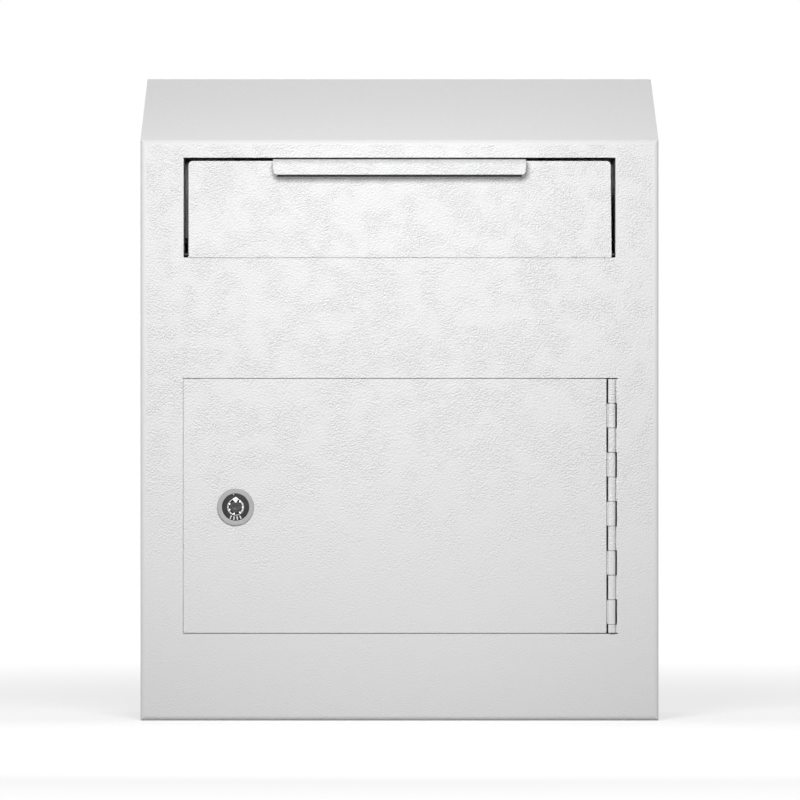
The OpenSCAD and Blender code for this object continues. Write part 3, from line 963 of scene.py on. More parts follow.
@dataclass
class Finishes:
    """Every finish of the box, made once."""

    lock_axis: tuple[float, float, float]
    coat: bpy.types.Material = field(init=False)
    smooth_coat: bpy.types.Material = field(init=False)
    inner_coat: bpy.types.Material = field(init=False)
    steel: bpy.types.Material = field(init=False)
    pin_steel: bpy.types.Material = field(init=False)
    black_steel: bpy.types.Material = field(init=False)
    rim: bpy.types.Material = field(init=False)
    bright: bpy.types.Material = field(init=False)
    dark: bpy.types.Material = field(init=False)
    post: bpy.types.Material = field(init=False)
    mark: bpy.types.Material = field(init=False)

    def __post_init__(self) -> None:
        """Builds the materials."""
        self.coat = PowderCoat("coat").material()
        self.smooth_coat = PowderCoat(
            "coat_top", relief=0.018 * MM, painted_relief_light_share=0.35).material()
        self.inner_coat = PowderCoat(
            "coat_inside", tone=0.76, relief=0.14 * MM, painted_relief_light_share=1.3).material()
        self.steel = PlatedSteel("zinc").material()
        self.pin_steel = PlatedSteel("pin_steel", tone=0.42, roughness=0.28).material()
        self.black_steel = PlatedSteel("black_steel", tone=0.05, roughness=0.5).material()
        self.rim = TurnedMetal("rim_nickel", self.lock_axis, tone=0.265, roughness=0.5).material()
        self.bright = TurnedMetal(
            "keyway_nickel", self.lock_axis, tone=0.88, roughness=0.26).material()
        self.dark = DarkEnamel("dark_ring", self.lock_axis).material()
        self.post = DarkEnamel(
            "dark_post", self.lock_axis, tone=0.05, roughness=0.38, ring_share=0.4).material()
        self.mark = PaleFill("pale_mark").material()


@dataclass
class Patterns:
    """Every geometry node group of the box, made once."""

    row: RowPattern = field(default_factory=RowPattern)
    round: RoundPattern = field(default_factory=RoundPattern)
    bead: BeadPattern = field(default_factory=BeadPattern)
    thread: ThreadPattern = field(default_factory=ThreadPattern)


@dataclass
class Assembly:
    """What every sub-assembly shares: its finishes and patterns."""

    finishes: Finishes
    patterns: Patterns
    edge: float = 0.3 * MM
    spot_r: float = 2.4 * MM
    spot_t: float = 0.22 * MM

    def dress(
        self, node: str, body: Body, material: bpy.types.Material, slot: Slot,
        width: float | None = None, steps: int = 2,
    ) -> bpy.types.Object:
        """Replaces a CAD node by its own shape with rounded edges.

        Args:
            node: the CAD node.
            body: the body that the piece rides on.
            material: the piece's finish.
            slot: the material slot.
            width: the bevel's width, where it isn't the usual one.
            steps: how many faces cross the bevel.

        Returns:
            The finished piece.
        """
        return place(softened(node, material, width or self.edge, steps), body, slot, node)

    def spot_row(
        self, name: str, body: Body, start: Vector, step: Vector, count: int, facing: float,
        material: bpy.types.Material,
    ) -> bpy.types.Object:
        """A row of spot welds, shallow round cushions on a face that looks along Y.

        Args:
            name: the piece's name.
            body: the body that the row rides on.
            start: the first weld's middle, on the face.
            step: from one weld to the next.
            count: how many there are.
            facing: 1 where the face looks along +Y, -1 along -Y.
            material: the row's finish.

        Returns:
            The finished piece.
        """
        sink = -0.1 * MM
        profile = [(0.0, self.spot_t * 0.55), (self.spot_r * 0.45, self.spot_t * 0.6),
                   (self.spot_r * 0.7, self.spot_t), (self.spot_r * 0.88, self.spot_t * 0.7),
                   (self.spot_r, 0.0), (self.spot_r, sink), (0.0, sink)]
        turned = [(r, y * facing) for r, y in profile]
        piece = piece_from(name, ring_shape(turned, (0.0, 0.0), 24), material)
        self.patterns.row.grow(piece, {
            "Count": count, "Start": start, "Step": step, "Pitch": 0.0, "Length": 1.0,
            "Reach": 1.0, "Material": material})
        return place(piece, body, Slot.PAINT)


@dataclass
class Cabinet(Assembly):
    """The folded body with its top, bottom, back, door strips, brackets and baffle."""

    spot_pitch: float = 34 * MM
    spot_inset: float = 5 * MM
    mouth_edge: float = 0.7 * MM
    sill_drop: float = 0.27 * MM

    def build(self) -> None:
        """Builds and dresses every fixed sheet."""
        coat = self.finishes.coat
        self.dress("body_shell", Body.CABINET, coat, Slot.PAINT, 0.28 * MM)
        self.dress("top_cover", Body.CABINET, self.finishes.smooth_coat, Slot.PAINT, 0.3 * MM, 3)
        self.dress("bottom_panel", Body.CABINET, coat, Slot.PAINT)
        self.dress("back_panel", Body.CABINET, self.finishes.inner_coat, Slot.PAINT, 0.35 * MM)
        for node in ("door_strip_top", "door_strip_bottom", "latch_strike", "baffle"):
            self.dress(node, Body.CABINET, self.finishes.inner_coat, Slot.PAINT)
        self._brackets()
        self._mouth_sill()
        self._strip_welds()
        self._seam_welds()

    def _brackets(self) -> None:
        """The brackets, whose inner front edges are the rounder edges of the mouth."""
        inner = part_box("hopper_bracket_right")[0].x
        for node in ("hopper_bracket_left", "hopper_bracket_right"):
            piece = softened(node, self.finishes.inner_coat, self.mouth_edge, 3,
                             lambda spot: abs(spot.x) < inner + MERGE)
            place(piece, Body.CABINET, Slot.PAINT, node)

    def _mouth_sill(self) -> None:
        """The cove on the mouth's lower edge, round which the hopper's foot turns."""
        low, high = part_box("hopper_front")
        edge_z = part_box("hopper_bracket_right")[0].z
        front_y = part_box("body_shell")[0].y
        pins_low, pins_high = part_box("hopper_pivot_pins")
        pivot = (pins_low + pins_high) / 2
        radius = pivot.z - edge_z
        rise = math.degrees(math.asin((pivot.y - front_y) / radius))
        outline = arc((pivot.y, pivot.z), radius, 270 - rise, 270, 12)
        outline += [(pivot.y, edge_z - self.sill_drop), (front_y, edge_z - self.sill_drop)]
        piece = piece_from(
            "body_shell_mouth_sill", prism(outline, low.x, high.x, "X"), self.finishes.coat)
        place(settle(piece), Body.CABINET, Slot.PAINT)

    def _strip_welds(self) -> None:
        """Spot welds on the backs of the strips and the strike that hold them to the front."""
        for node in ("door_strip_top", "door_strip_bottom"):
            low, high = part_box(node)
            count = int((high.x - low.x - 2 * self.spot_inset) / self.spot_pitch) + 1
            step = (high.x - low.x - 2 * self.spot_inset) / (count - 1)
            outer = high.z - self.spot_inset if node.endswith("top") else low.z + self.spot_inset
            start = Vector((low.x + self.spot_inset, high.y, outer))
            self.spot_row(f"{node}_welds", Body.CABINET, start, Vector((step, 0, 0)), count, 1,
                          self.finishes.inner_coat)
        low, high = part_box("latch_strike")
        sheet_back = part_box("door_strip_top")[1].y
        start = Vector((low.x + self.spot_inset, sheet_back, low.z + self.spot_inset))
        count = 6
        step = Vector((0, 0, (high.z - low.z - 2 * self.spot_inset) / (count - 1)))
        self.spot_row("latch_strike_welds", Body.CABINET, start, step, count, 1,
                      self.finishes.inner_coat)
        for side in ("left", "right"):
            low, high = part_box(f"hopper_bracket_{side}")
            outer = low.x + self.spot_inset if side == "left" else high.x - self.spot_inset
            start = Vector((outer, sheet_back, low.z + 2 * self.spot_inset))
            step = Vector((0, 0, (high.z - low.z - 4 * self.spot_inset) / 2))
            self.spot_row(f"hopper_bracket_{side}_welds", Body.CABINET, start, step, 3, 1,
                          self.finishes.inner_coat)

    def _seam_welds(self) -> None:
        """Short weld beads in the corners where the baffle meets the sides."""
        low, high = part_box("baffle")
        drop = 1.1 * MM
        for side, x in (("left", low.x + drop), ("right", high.x - drop)):
            for part, z in (("low", low.z + 8 * MM), ("high", high.z - 26 * MM)):
                shape = bmesh.new()
                bmesh.ops.create_icosphere(shape, subdivisions=2, radius=1.25 * MM)
                for vert in shape.verts:
                    vert.co.z *= 0.75
                name = f"baffle_bead_{side}_{part}"
                piece = piece_from(name, shape, self.finishes.inner_coat)
                self.patterns.bead.grow(piece, {
                    "Count": 17, "Start": Vector((x, low.y - 0.3 * MM, z)),
                    "Step": Vector((0, 0, 1.05 * MM)), "Seed": len(name),
                    "Material": self.finishes.inner_coat})
                place(piece, Body.CABINET, Slot.PAINT)


@dataclass
class Hopper(Assembly):
    """The pull-down hopper: front, bent handle, tray, side plates, pins and studs."""

    grip_t: float = 1.1 * MM
    grip_fall: float = 2.7 * MM
    grip_lip: float = 7.1 * MM
    grip_taper: float = 0.7 * MM
    grip_corner_r: float = 2.0 * MM
    shadow_strip_drop: float = 1.4 * MM
    bend_r: float = 1.0 * MM
    crease_r: float = 1.6 * MM
    front_edge: float = 0.74 * MM
    foot_drop: float = 1.38 * MM
    foot_reach: float = 1.895 * MM
    front_taper: float = 0.2 * MM
    front_skew: float = 0.45 * MM

    def build(self) -> None:
        """Builds and dresses the hopper's pieces."""
        self._front()
        for node in ("hopper_tray", "hopper_cheek_left", "hopper_cheek_right"):
            self.dress(node, Body.HOPPER, self.finishes.inner_coat, Slot.PAINT)
        self._handle()
        self._pins()
        self._studs()
        self._flange_welds()

    def _front(self) -> None:
        """The front plate, a little askew, its foot's nose filled out as far as the swing allows."""
        piece = softened("hopper_front", self.finishes.coat, self.front_edge, 4)
        pins_low, pins_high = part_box("hopper_pivot_pins")
        pivot = (pins_low + pins_high) / 2
        nose = pivot.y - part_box("hopper_front")[0].y
        for vert in piece.data.vertices:
            back, drop = pivot.y - vert.co.y, pivot.z - vert.co.z
            reach = math.hypot(back, drop)
            if back > MERGE and drop > MERGE and reach > 0.96 * nose:
                full = min(nose * reach / back, self.foot_drop * reach / drop, self.foot_reach)
                vert.co.y = pivot.y - back * full / reach
                vert.co.z = pivot.z - drop * full / reach
        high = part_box("hopper_front")[1]
        for vert in piece.data.vertices:
            rise = max(vert.co.z - pivot.z, 0.0) / (high.z - pivot.z)
            vert.co.x *= 1 - self.front_taper * rise / high.x
            vert.co.x += self.front_skew * (1 - rise)
        piece.data.update()
        place(piece, Body.HOPPER, Slot.PAINT, "hopper_front")

    def _handle(self) -> None:
        """The handle: one strip bent over the front's upper edge and down into a lip."""
        low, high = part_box("hopper_handle")
        front_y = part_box("hopper_front")[0].y
        half_t = self.grip_t / 2
        rear = high.y - half_t
        lip = low.y + half_t
        corner_z = high.z - self.grip_fall - half_t
        lip_z = high.z - self.grip_fall - self.grip_lip
        tail_z = low.z
        corners = [(rear, tail_z), (rear, high.z - half_t), (front_y, high.z - half_t),
                   (lip, corner_z), (lip, lip_z)]
        path = rounded_path(corners, [self.bend_r, self.crease_r, self.bend_r])
        levels = [lip_z + self.grip_corner_r * (1 - math.sin(math.radians(a)))
                  for a in range(0, 91, 10)]
        path = path[:-1] + [(lip, z) for z in levels]
        outer, inner = both_sides(path, self.grip_t)
        shape = bmesh.new()
        ends = []
        for side in (-1, 1):
            pairs = []
            for one, other in zip(outer, inner):
                pairs.append([
                    shape.verts.new((side * self._half_width(p, high, lip_z, front_y), *p))
                    for p in (one, other)])
            ends.append(pairs)
        left, right = ends
        for i in range(len(path) - 1):
            j = i + 1
            for end in ends:
                shape.faces.new((end[i][0], end[j][0], end[j][1], end[i][1]))
            for face in (0, 1):
                shape.faces.new((left[i][face], left[j][face], right[j][face], right[i][face]))
        for i in (0, len(path) - 1):
            shape.faces.new((left[i][0], left[i][1], right[i][1], right[i][0]))
        bmesh.ops.recalc_face_normals(shape, faces=shape.faces)
        piece = piece_from("hopper_handle_dressed", shape, self.finishes.coat)
        bevel(piece, 0.14 * MM, 2, 50)
        place(settle(piece, smooth=False), Body.HOPPER, Slot.PAINT, "hopper_handle")
        self._painted_shadow_strip(low.y, lip_z, high.x - self.grip_taper - self.grip_corner_r)

    def _painted_shadow_strip(self, face_y: float, lip_z: float, half: float) -> None:
        """A dark strip with a slanted face under the lip's lower edge, painted shade that stands for
        the lip's shadow.

        Args:
            face_y: the lip's front face.
            lip_z: the lip's lower edge on that face.
            half: half the edge's width.
        """
        step = 0.12 * MM
        outline = [(face_y + step, lip_z + step), (face_y + self.grip_t, lip_z + step),
                   (face_y + self.grip_t, lip_z - self.shadow_strip_drop),
                   (face_y + self.grip_t - step, lip_z - self.shadow_strip_drop),
                   (face_y + step, lip_z - step)]
        # Painted shadow: a near-black strip hangs under the lip where its shadow falls.
        piece = piece_from(
            "hopper_handle_painted_shadow_strip", prism(outline, -half, half, "X"), self.finishes.black_steel)
        bevel(piece, 0.05 * MM, 1)
        place(settle(piece, smooth=False), Body.HOPPER, Slot.STEEL)

    def _half_width(self, point: Point, high: Vector, lip_z: float, front_y: float) -> float:
        """Half the handle's width at a point of its section.

        Args:
            point: the section's (y, z).
            high: the handle's highest corner.
            lip_z: the lip's lower edge.
            front_y: the front's face; behind it the handle has its full width.

        Returns:
            The distance from the middle to the handle's end.
        """
        y, z = point
        corner_z = high.z - self.grip_fall
        if y > front_y or z >= corner_z:
            return high.x
        fall = (corner_z - z) / (corner_z - lip_z)
        width = high.x - self.grip_taper * fall
        over = lip_z + self.grip_corner_r - z
        if over <= 0:
            return width
        radius = self.grip_corner_r
        return width - radius + math.sqrt(max(radius * radius - over * over, 0.0))

    def _pins(self) -> None:
        """The two pivot pins, with a chamfered tip."""
        low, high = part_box("hopper_pivot_pins")
        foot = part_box("hopper_front")[1].x
        self._round_bars(
            "hopper_pivot_pins", low, high, foot, 0.25 * MM, self.finishes.black_steel)

    def _studs(self) -> None:
        """The two stop studs, with a chamfered tip."""
        low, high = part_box("hopper_stop_studs")
        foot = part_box("hopper_cheek_right")[1].x
        self._round_bars(
            "hopper_stop_studs", low, high, foot, 0.5 * MM, self.finishes.black_steel)

    def _round_bars(
        self, node: str, low: Vector, high: Vector, foot: float, chamfer: float,
        material: bpy.types.Material,
    ) -> None:
        """Two round bars that stand out from the hopper's sides.

        Args:
            node: the CAD node that they stand for.
            low: the node's lowest corner.
            high: the node's highest corner.
            foot: where the right bar starts.
            chamfer: the chamfer at the tip.
            material: the bars' finish.
        """
        radius = (high.z - low.z) / 2
        middle = (low + high) / 2
        groove = radius * 0.94
        tip = high.x
        stations = [(foot, 0.0), (foot, radius), (tip - 3 * chamfer, radius),
                    (tip - 2.8 * chamfer, groove), (tip - 2.2 * chamfer, groove),
                    (tip - 2 * chamfer, radius), (tip - chamfer, radius),
                    (tip, radius - chamfer), (tip, 0.0)]
        shape = bmesh.new()
        for side in (-1, 1):
            turned = ring_shape([(r, x) for x, r in stations], (0.0, 0.0), 32)
            for vert in turned.verts:
                across, along, up = vert.co
                vert.co = (side * along, middle.y + across, middle.z + up)
            mesh = bpy.data.meshes.new(node)
            bmesh.ops.recalc_face_normals(turned, faces=turned.faces)
            turned.to_mesh(mesh)
            turned.free()
            shape.from_mesh(mesh)
            bpy.data.meshes.remove(mesh)
        piece = settle(piece_from(f"{node}_dressed", shape, material))
        place(piece, Body.HOPPER, Slot.STEEL, node)

    def _flange_welds(self) -> None:
        """Spot welds on the side plates' flanges, seen when the hopper hangs open."""
        for side in ("left", "right"):
            low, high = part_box(f"hopper_cheek_{side}")
            inset = 5.2 * MM
            x = high.x - inset if side == "left" else low.x + inset
            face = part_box("hopper_front")[0].y + 3.0 * MM
            start = Vector((x, face, low.z + 32 * MM))
            self.spot_row(f"hopper_cheek_{side}_welds", Body.HOPPER, start,
                          Vector((0, 0, 15 * MM)), 4, 1, self.finishes.inner_coat)


@dataclass
class Hinge(Assembly):
    """The continuous hinge: two leaves with rolled knuckles, and the pin."""

    pitch: float = 15.16 * MM
    gap: float = 0.38 * MM
    leaf_t: float = 1.0 * MM
    side_gap: float = 1.0 * MM
    curl_end: float = 22.0
    roll_steps: int = 40

    def build(self) -> None:
        """Builds both leaves and the pin."""
        pin_low, pin_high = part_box("hinge_pin")
        self.axis = (pin_low + pin_high) / 2
        self.low_z, self.high_z = pin_low.z, pin_high.z
        frame_low, frame_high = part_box("hinge_leaf_frame")
        self.radius = frame_high.y - self.axis.y
        self._leaf("hinge_leaf_frame", Body.CABINET, 1, 0, frame_high.x)
        door_low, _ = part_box("hinge_leaf_door")
        self._leaf("hinge_leaf_door", Body.DOOR, -1, 1, door_low.x)
        self._pin(pin_low, pin_high)

    def _leaf(self, node: str, body: Body, side: int, first: int, outer: float) -> None:
        """One leaf: its flat plate and its row of knuckles, as two meshes.

        Args:
            node: the CAD node that it stands for.
            body: the body that it rides on.
            side: 1 where the leaf lies to the right of the pin, -1 to the left.
            first: the number of its first knuckle from the top.
            outer: the x of the leaf's outer edge.
        """
        knuckles = self._knuckles(node, side, first)
        edge = self.axis.x + side * (self.radius + self.side_gap)
        back = self.axis.y + self.radius
        corner = 2.0 * MM
        inner_x, outer_x = edge, outer
        outline = [(inner_x, self.low_z), (outer_x - side * corner, self.low_z)]
        lower = (outer_x - side * corner, self.low_z + corner)
        upper = (outer_x - side * corner, self.high_z - corner)
        for centre, start in ((lower, -90), (upper, 0)):
            for point in arc(centre, corner, start, start + 90, 5):
                outline.append((centre[0] + side * (point[0] - centre[0]), point[1]))
        outline.append((inner_x, self.high_z))
        shape = prism(outline, back - self.leaf_t, back, "Y")
        bmesh.ops.remove_doubles(shape, verts=shape.verts, dist=MERGE)
        plate = piece_from(f"{node}_plate", shape, self.finishes.coat)
        bevel(plate, 0.12 * MM, 2)
        place(settle(plate, smooth=False), body, Slot.PAINT)
        place(knuckles, body, Slot.PAINT, node)
        spots = 9
        start = Vector(((inner_x + outer_x) / 2, back, self.low_z + 8 * MM))
        step = Vector((0, 0, (self.high_z - self.low_z - 16 * MM) / (spots - 1)))
        self.spot_row(f"{node}_welds", body, start, step, spots, 1, self.finishes.inner_coat)

    def _knuckles(self, node: str, side: int, first: int) -> bpy.types.Object:
        """The knuckles: sheet that comes off the leaf and rolls round the pin.

        Args:
            node: the CAD node, for the piece's name.
            side: the side that the leaf lies on.
            first: the number of the first knuckle from the top.

        Returns:
            The row as one piece.
        """
        inner_r = self.radius - self.leaf_t
        root = self.radius + self.side_gap
        around = arc((0.0, 0.0), self.radius, 90, 360 + self.curl_end, self.roll_steps)
        inside = arc((0.0, 0.0), inner_r, 360 + self.curl_end, 90, self.roll_steps)
        outline = around + inside + [(root, inner_r), (root, self.radius)]
        placed = [(self.axis.x + side * u, self.axis.y + v) for u, v in outline]
        length = self.pitch - self.gap
        shape = prism(placed, -length, 0.0, "Z")
        piece = piece_from(f"{node}_knuckles", shape, self.finishes.coat)
        bevel(piece, 0.13 * MM, 2, 50)
        settle(piece, smooth=False)
        total = math.ceil((self.high_z - self.low_z) / self.pitch)
        count = (total - first + 1) // 2
        top = self.high_z - first * self.pitch - self.gap / 2
        reach = top - self.low_z - self.gap / 2
        return self.patterns.row.grow(piece, {
            "Count": count, "Start": Vector((0, 0, top)), "Step": Vector((0, 0, -2 * self.pitch)),
            "Pitch": 2 * self.pitch, "Length": length, "Reach": reach,
            "Material": self.finishes.coat})

    def _pin(self, low: Vector, high: Vector) -> None:
        """The hinge pin, with domed ends.

        Args:
            low: the pin's lowest corner.
            high: its highest corner.
        """
        radius = (high.x - low.x) / 2
        dome = 0.35 * MM
        half = [(radius * math.cos(math.radians(a)), dome * math.sin(math.radians(a)))
                for a in range(0, 91, 15)]
        upper = [(r, high.z - dome + z) for r, z in half]
        lower = [(r, low.z + dome - z) for r, z in half]
        profile = [(max(r, 0.0), z) for r, z in list(reversed(lower)) + upper]
        profile[0] = (0.0, profile[0][1])
        profile[-1] = (0.0, profile[-1][1])
        shape = ring_shape(profile, (0.0, 0.0), 24)
        for vert in shape.verts:
            across, along, up = vert.co
            vert.co = (self.axis.x + across, self.axis.y + up, along)
        bmesh.ops.recalc_face_normals(shape, faces=shape.faces)
        piece = settle(piece_from("hinge_pin_dressed", shape, self.finishes.pin_steel))
        place(piece, Body.CABINET, Slot.STEEL, "hinge_pin")


@dataclass
class Door(Assembly):
    """The lower door: its panel and the stiffening channel behind it."""

    def build(self) -> None:
        """Builds and dresses the door."""
        self.dress("door_panel", Body.DOOR, self.finishes.coat, Slot.PAINT, 0.25 * MM)
        self.dress("door_stiffener", Body.DOOR, self.finishes.inner_coat, Slot.PAINT)
        low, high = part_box("door_stiffener")
        foot_back = low.y + 1.2 * MM
        spots = 6
        inset = 12 * MM
        step = Vector(((high.x - low.x - 2 * inset) / (spots - 1), 0, 0))
        for row, z in (("low", low.z + 4 * MM), ("high", high.z - 4 * MM)):
            start = Vector((low.x + inset, foot_back, z))
            self.spot_row(f"door_stiffener_welds_{row}", Body.DOOR, start, step, spots, 1,
                          self.finishes.inner_coat)


@dataclass
class CamLock(Assembly):
    """The round-key cam lock: rim, dark ring, keyway, barrel, nut, washers and cam."""

    steps: int = 144
    thread_pitch: float = 1.0 * MM
    thread_depth: float = 0.45 * MM
    flat_half: float = 8.3 * MM
    barrel_r: float = 9.5 * MM
    flange_inset: float = 0.28 * MM
    sleeve_t: float = 0.45 * MM
    sleeve_wall: float = 0.2 * MM
    land_count: int = 14
    land_depth: float = 0.3 * MM
    pin_turn: float = -12.0
    pin_ring_r: float = 4.25 * MM
    pin_r: float = 0.58 * MM
    post_r: float = 3.58 * MM
    highlight_peak_reach: float = 6.35 * MM
    tooth_count: int = 18
    mark_count: int = 4
    mark_turn: float = 17.0

    def build(self) -> None:
        """Builds and dresses the lock from its face to its cam."""
        low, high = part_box("lock_housing")
        self.centre = ((low.x + high.x) / 2, (low.z + high.z) / 2)
        self.rim_r = (high.x - low.x) / 2
        self.rim_y, self.end_y = low.y, high.y
        face_low, face_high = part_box("lock_face")
        self.face_r = (face_high.x - face_low.x) / 2
        self.face_y, self.face_back = face_low.y, face_high.y
        self.panel_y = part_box("door_panel")[0].y
        core_low, core_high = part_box("lock_core")
        self.core_r = (core_high.x - core_low.x) / 2
        self.keyway_r = self.core_r + 0.1 * MM
        self.flange_r = self.keyway_r - self.flange_inset
        self.core_end = core_high.y
        self.pins_low, self.pins_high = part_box("lock_key_pins")
        self._rim()
        self._barrel()
        self._face()
        self._marks()
        self._core()
        self._key_pins()
        self._washer()
        self._nut()
        for node in ("lock_stop_washer", "lock_cam"):
            self.dress(node, Body.CYLINDER, self.finishes.steel, Slot.STEEL, 0.22 * MM)
        self.dress("cam_screw", Body.CYLINDER, self.finishes.pin_steel, Slot.STEEL, 0.25 * MM)

    def _turned(
        self, name: str, profile: list[Point], material: bpy.types.Material, body: Body,
        slot: Slot, *nodes: str, stretch: Callable[[float, float], float] | None = None,
    ) -> bpy.types.Object:
        """A piece turned round the lock's axis.

        Args:
            name: the piece's name.
            profile: (radius, y) points.
            material: its finish.
            body: the body that it rides on.
            slot: the material slot.
            nodes: the CAD nodes that it stands for.
            stretch: the radius by angle, where it isn't round.

        Returns:
            The finished piece.
        """
        shape = ring_shape(profile, self.centre, self.steps, stretch)
        return place(settle(piece_from(name, shape, material)), body, slot, *nodes)

    def _rim(self) -> None:
        """The rim: a flat face with a soft outer edge and a small inner chamfer."""
        edge, chamfer = 0.3 * MM, 0.2 * MM
        arc_points = arc((self.rim_r - edge, 0.0), edge, 90, 0, 6)
        outer = [(r, self.rim_y + edge - rise) for r, rise in arc_points]
        profile = [(self.face_r, self.face_back), (self.face_r, self.rim_y + chamfer),
                   (self.face_r + chamfer * 0.4, self.rim_y + chamfer * 0.3),
                   (self.face_r + chamfer, self.rim_y), *outer,
                   (self.rim_r, self.panel_y), (self.barrel_r - self.thread_depth, self.panel_y),
                   (self.keyway_r, self.panel_y + 1.0 * MM), (self.keyway_r, self.face_back)]
        self._turned("lock_rim", profile, self.finishes.rim, Body.DOOR, Slot.CHROME,
                     "lock_housing")

    def _barrel(self) -> None:
        """The barrel's thread with its two flats, and its end face."""
        length = self.end_y - self.panel_y
        along = int(length / self.thread_pitch) * 8 + 1
        start = bmesh.new()
        start.verts.new((self.centre[0], self.panel_y, self.centre[1]))
        piece = piece_from("lock_barrel_thread", start, self.finishes.rim)
        self.patterns.thread.grow(piece, {
            "Centre": Vector((self.centre[0], self.panel_y, self.centre[1])),
            "Radius": self.barrel_r, "Depth": self.thread_depth, "Pitch": self.thread_pitch,
            "Length": length, "Flat": self.flat_half, "Around": 97, "Along": along,
            "Material": self.finishes.rim})
        place(piece, Body.DOOR, Slot.CHROME)
        root = self.barrel_r - self.thread_depth
        inner = self.keyway_r
        profile = [(inner, self.end_y - 3.0 * MM), (root, self.end_y - 0.35 * MM),
                   (root - 0.15 * MM, self.end_y - 0.02 * MM),
                   (inner + 0.3 * MM, self.end_y), (inner, self.end_y - 0.3 * MM)]

        def flats(radius: float, turn: float) -> float:
            """Cuts a radius to the barrel's flats."""
            across = abs(math.cos(turn))
            return min(radius, (self.flat_half - 0.02 * MM) / max(across, 0.01))

        self._turned("lock_barrel_end", profile, self.finishes.rim, Body.DOOR, Slot.CHROME,
                     stretch=flats)

    def _peak(self, radius: float, turn: float) -> float:
        """The keyway flange's outer radius, drawn out to a point at twelve o'clock: partly the key
        notch, partly a painted highlight shaped as the notch's glint.

        Args:
            radius: the profile's radius.
            turn: the angle in radians.

        Returns:
            The radius at that angle.
        """
        if radius < self.flange_r - self.sleeve_t + 0.05 * MM:
            land = (0.5 + 0.5 * math.cos(self.land_count * turn)) ** 2
            return radius + self.land_depth * (1 - land)
        if radius < self.flange_r - MERGE:
            return radius
        # Painted highlight: the bright point has the shape of the glint in the key notch.
        tangent = math.acos(self.flange_r / self.highlight_peak_reach)
        away = abs((turn - math.pi / 2 + math.pi) % math.tau - math.pi)
        if away >= tangent:
            return radius
        return radius / math.cos(tangent - away)

    def _face(self) -> None:
        """The dark ring in the rim, and the bright flange round the keyway on it, whose point at
        twelve o'clock is partly a painted highlight.
        """
        soft = 0.12 * MM
        inner, outer = self.flange_r, self.face_r
        profile = [(inner, self.face_back), (inner, self.face_y + soft),
                   (inner + soft, self.face_y), (outer - 3 * soft, self.face_y),
                   (outer - soft, self.face_y + 0.6 * soft), (outer, self.face_y + 2 * soft),
                   (outer, self.face_back)]
        self._turned("lock_dark_ring", profile, self.finishes.dark, Body.DOOR, Slot.DARK,
                     "lock_face")
        proud = self.face_y - 0.1 * MM
        bore, wide = inner - self.sleeve_t, inner - self.sleeve_wall
        lip_y = self.face_y + 0.1 * MM
        sleeve = [(wide, self.face_back), (wide, lip_y), (bore, lip_y),
                  (bore, proud + soft), (bore + 0.04 * MM, proud),
                  (inner, proud), (inner + 0.01 * MM, self.face_y + 0.02 * MM),
                  (inner, self.face_back)]
        self._turned("lock_keyway_sleeve", sleeve, self.finishes.bright, Body.DOOR, Slot.CHROME,
                     stretch=self._peak)

    def _marks(self) -> None:
        """Four plain strokes at six o'clock and a dot at twelve on the dark ring."""
        proud = self.face_y - 0.03 * MM
        stroke_low, stroke_high, half = 5.8 * MM, 7.95 * MM, 0.36 * MM
        outline = [(-half, -stroke_low), (-half, -stroke_high), (half, -stroke_high),
                   (half, -stroke_low)]
        piece = piece_from("lock_strokes", prism(outline, 0.0, 0.1 * MM, "Y"), self.finishes.mark)
        bevel(piece, 0.02 * MM, 1)
        first = -math.radians(self.mark_turn) * (self.mark_count - 1) / 2
        self.patterns.round.grow(piece, {
            "Count": self.mark_count, "Centre": Vector((self.centre[0], proud, self.centre[1])),
            "First": first, "Turn": math.radians(self.mark_turn), "Material": self.finishes.mark})
        place(piece, Body.DOOR, Slot.CHROME)
        spot_r, spot_reach, lean = 0.34 * MM, 7.9 * MM, math.radians(9)
        middle = (self.centre[0] - spot_reach * math.sin(lean),
                  self.centre[1] + spot_reach * math.cos(lean))
        dot = ring_shape([(0.0, proud), (spot_r * 0.8, proud), (spot_r, proud + 0.02 * MM),
                          (spot_r, proud + 0.1 * MM), (0.0, proud + 0.1 * MM)], middle, 16)
        place(settle(piece_from("lock_index_dot", dot, self.finishes.mark)), Body.DOOR,
              Slot.CHROME)

    def _core(self) -> None:
        """The turning core: dark post, a body in the same dark finish whose front is the keyway floor,
        and square end.
        """
        post_r = self.post_r
        floor_y = self.pins_high.y
        soft = 0.3 * MM
        rings = [(post_r - 1.3 * MM, self.face_y), (post_r - 1.2 * MM, self.face_y + 0.1 * MM),
                 (post_r - 1.05 * MM, self.face_y + 0.1 * MM), (post_r - 0.95 * MM, self.face_y)]
        profile = [(0.0, self.face_y + 0.25 * MM), (0.5 * MM, self.face_y + 0.2 * MM),
                   (0.9 * MM, self.face_y), *rings, (post_r - soft, self.face_y),
                   (post_r, self.face_y + soft), (post_r, floor_y + 0.1 * MM),
                   (0.0, floor_y + 0.1 * MM)]
        self._turned("lock_post", profile, self.finishes.post, Body.CYLINDER, Slot.DARK,
                     "lock_core")
        core_back = self.end_y
        body = [(0.0, floor_y), (self.core_r - 0.1 * MM, floor_y),
                (self.core_r, floor_y + 0.1 * MM), (self.core_r, core_back - 0.2 * MM),
                (self.core_r - 0.2 * MM, core_back), (0.0, core_back)]
        self._turned("lock_core_body", body, self.finishes.post, Body.CYLINDER, Slot.DARK)
        half = 3.4 * MM
        outline = [(self.centre[0] + half * u, self.centre[1] + half * v)
                   for u, v in ((-1, -1), (1, -1), (1, 1), (-1, 1))]
        square = piece_from(
            "lock_core_square", prism(outline, core_back, self.core_end, "Y"), self.finishes.steel)
        bevel(square, 0.35 * MM, 2)
        place(settle(square, smooth=False), Body.CYLINDER, Slot.STEEL)

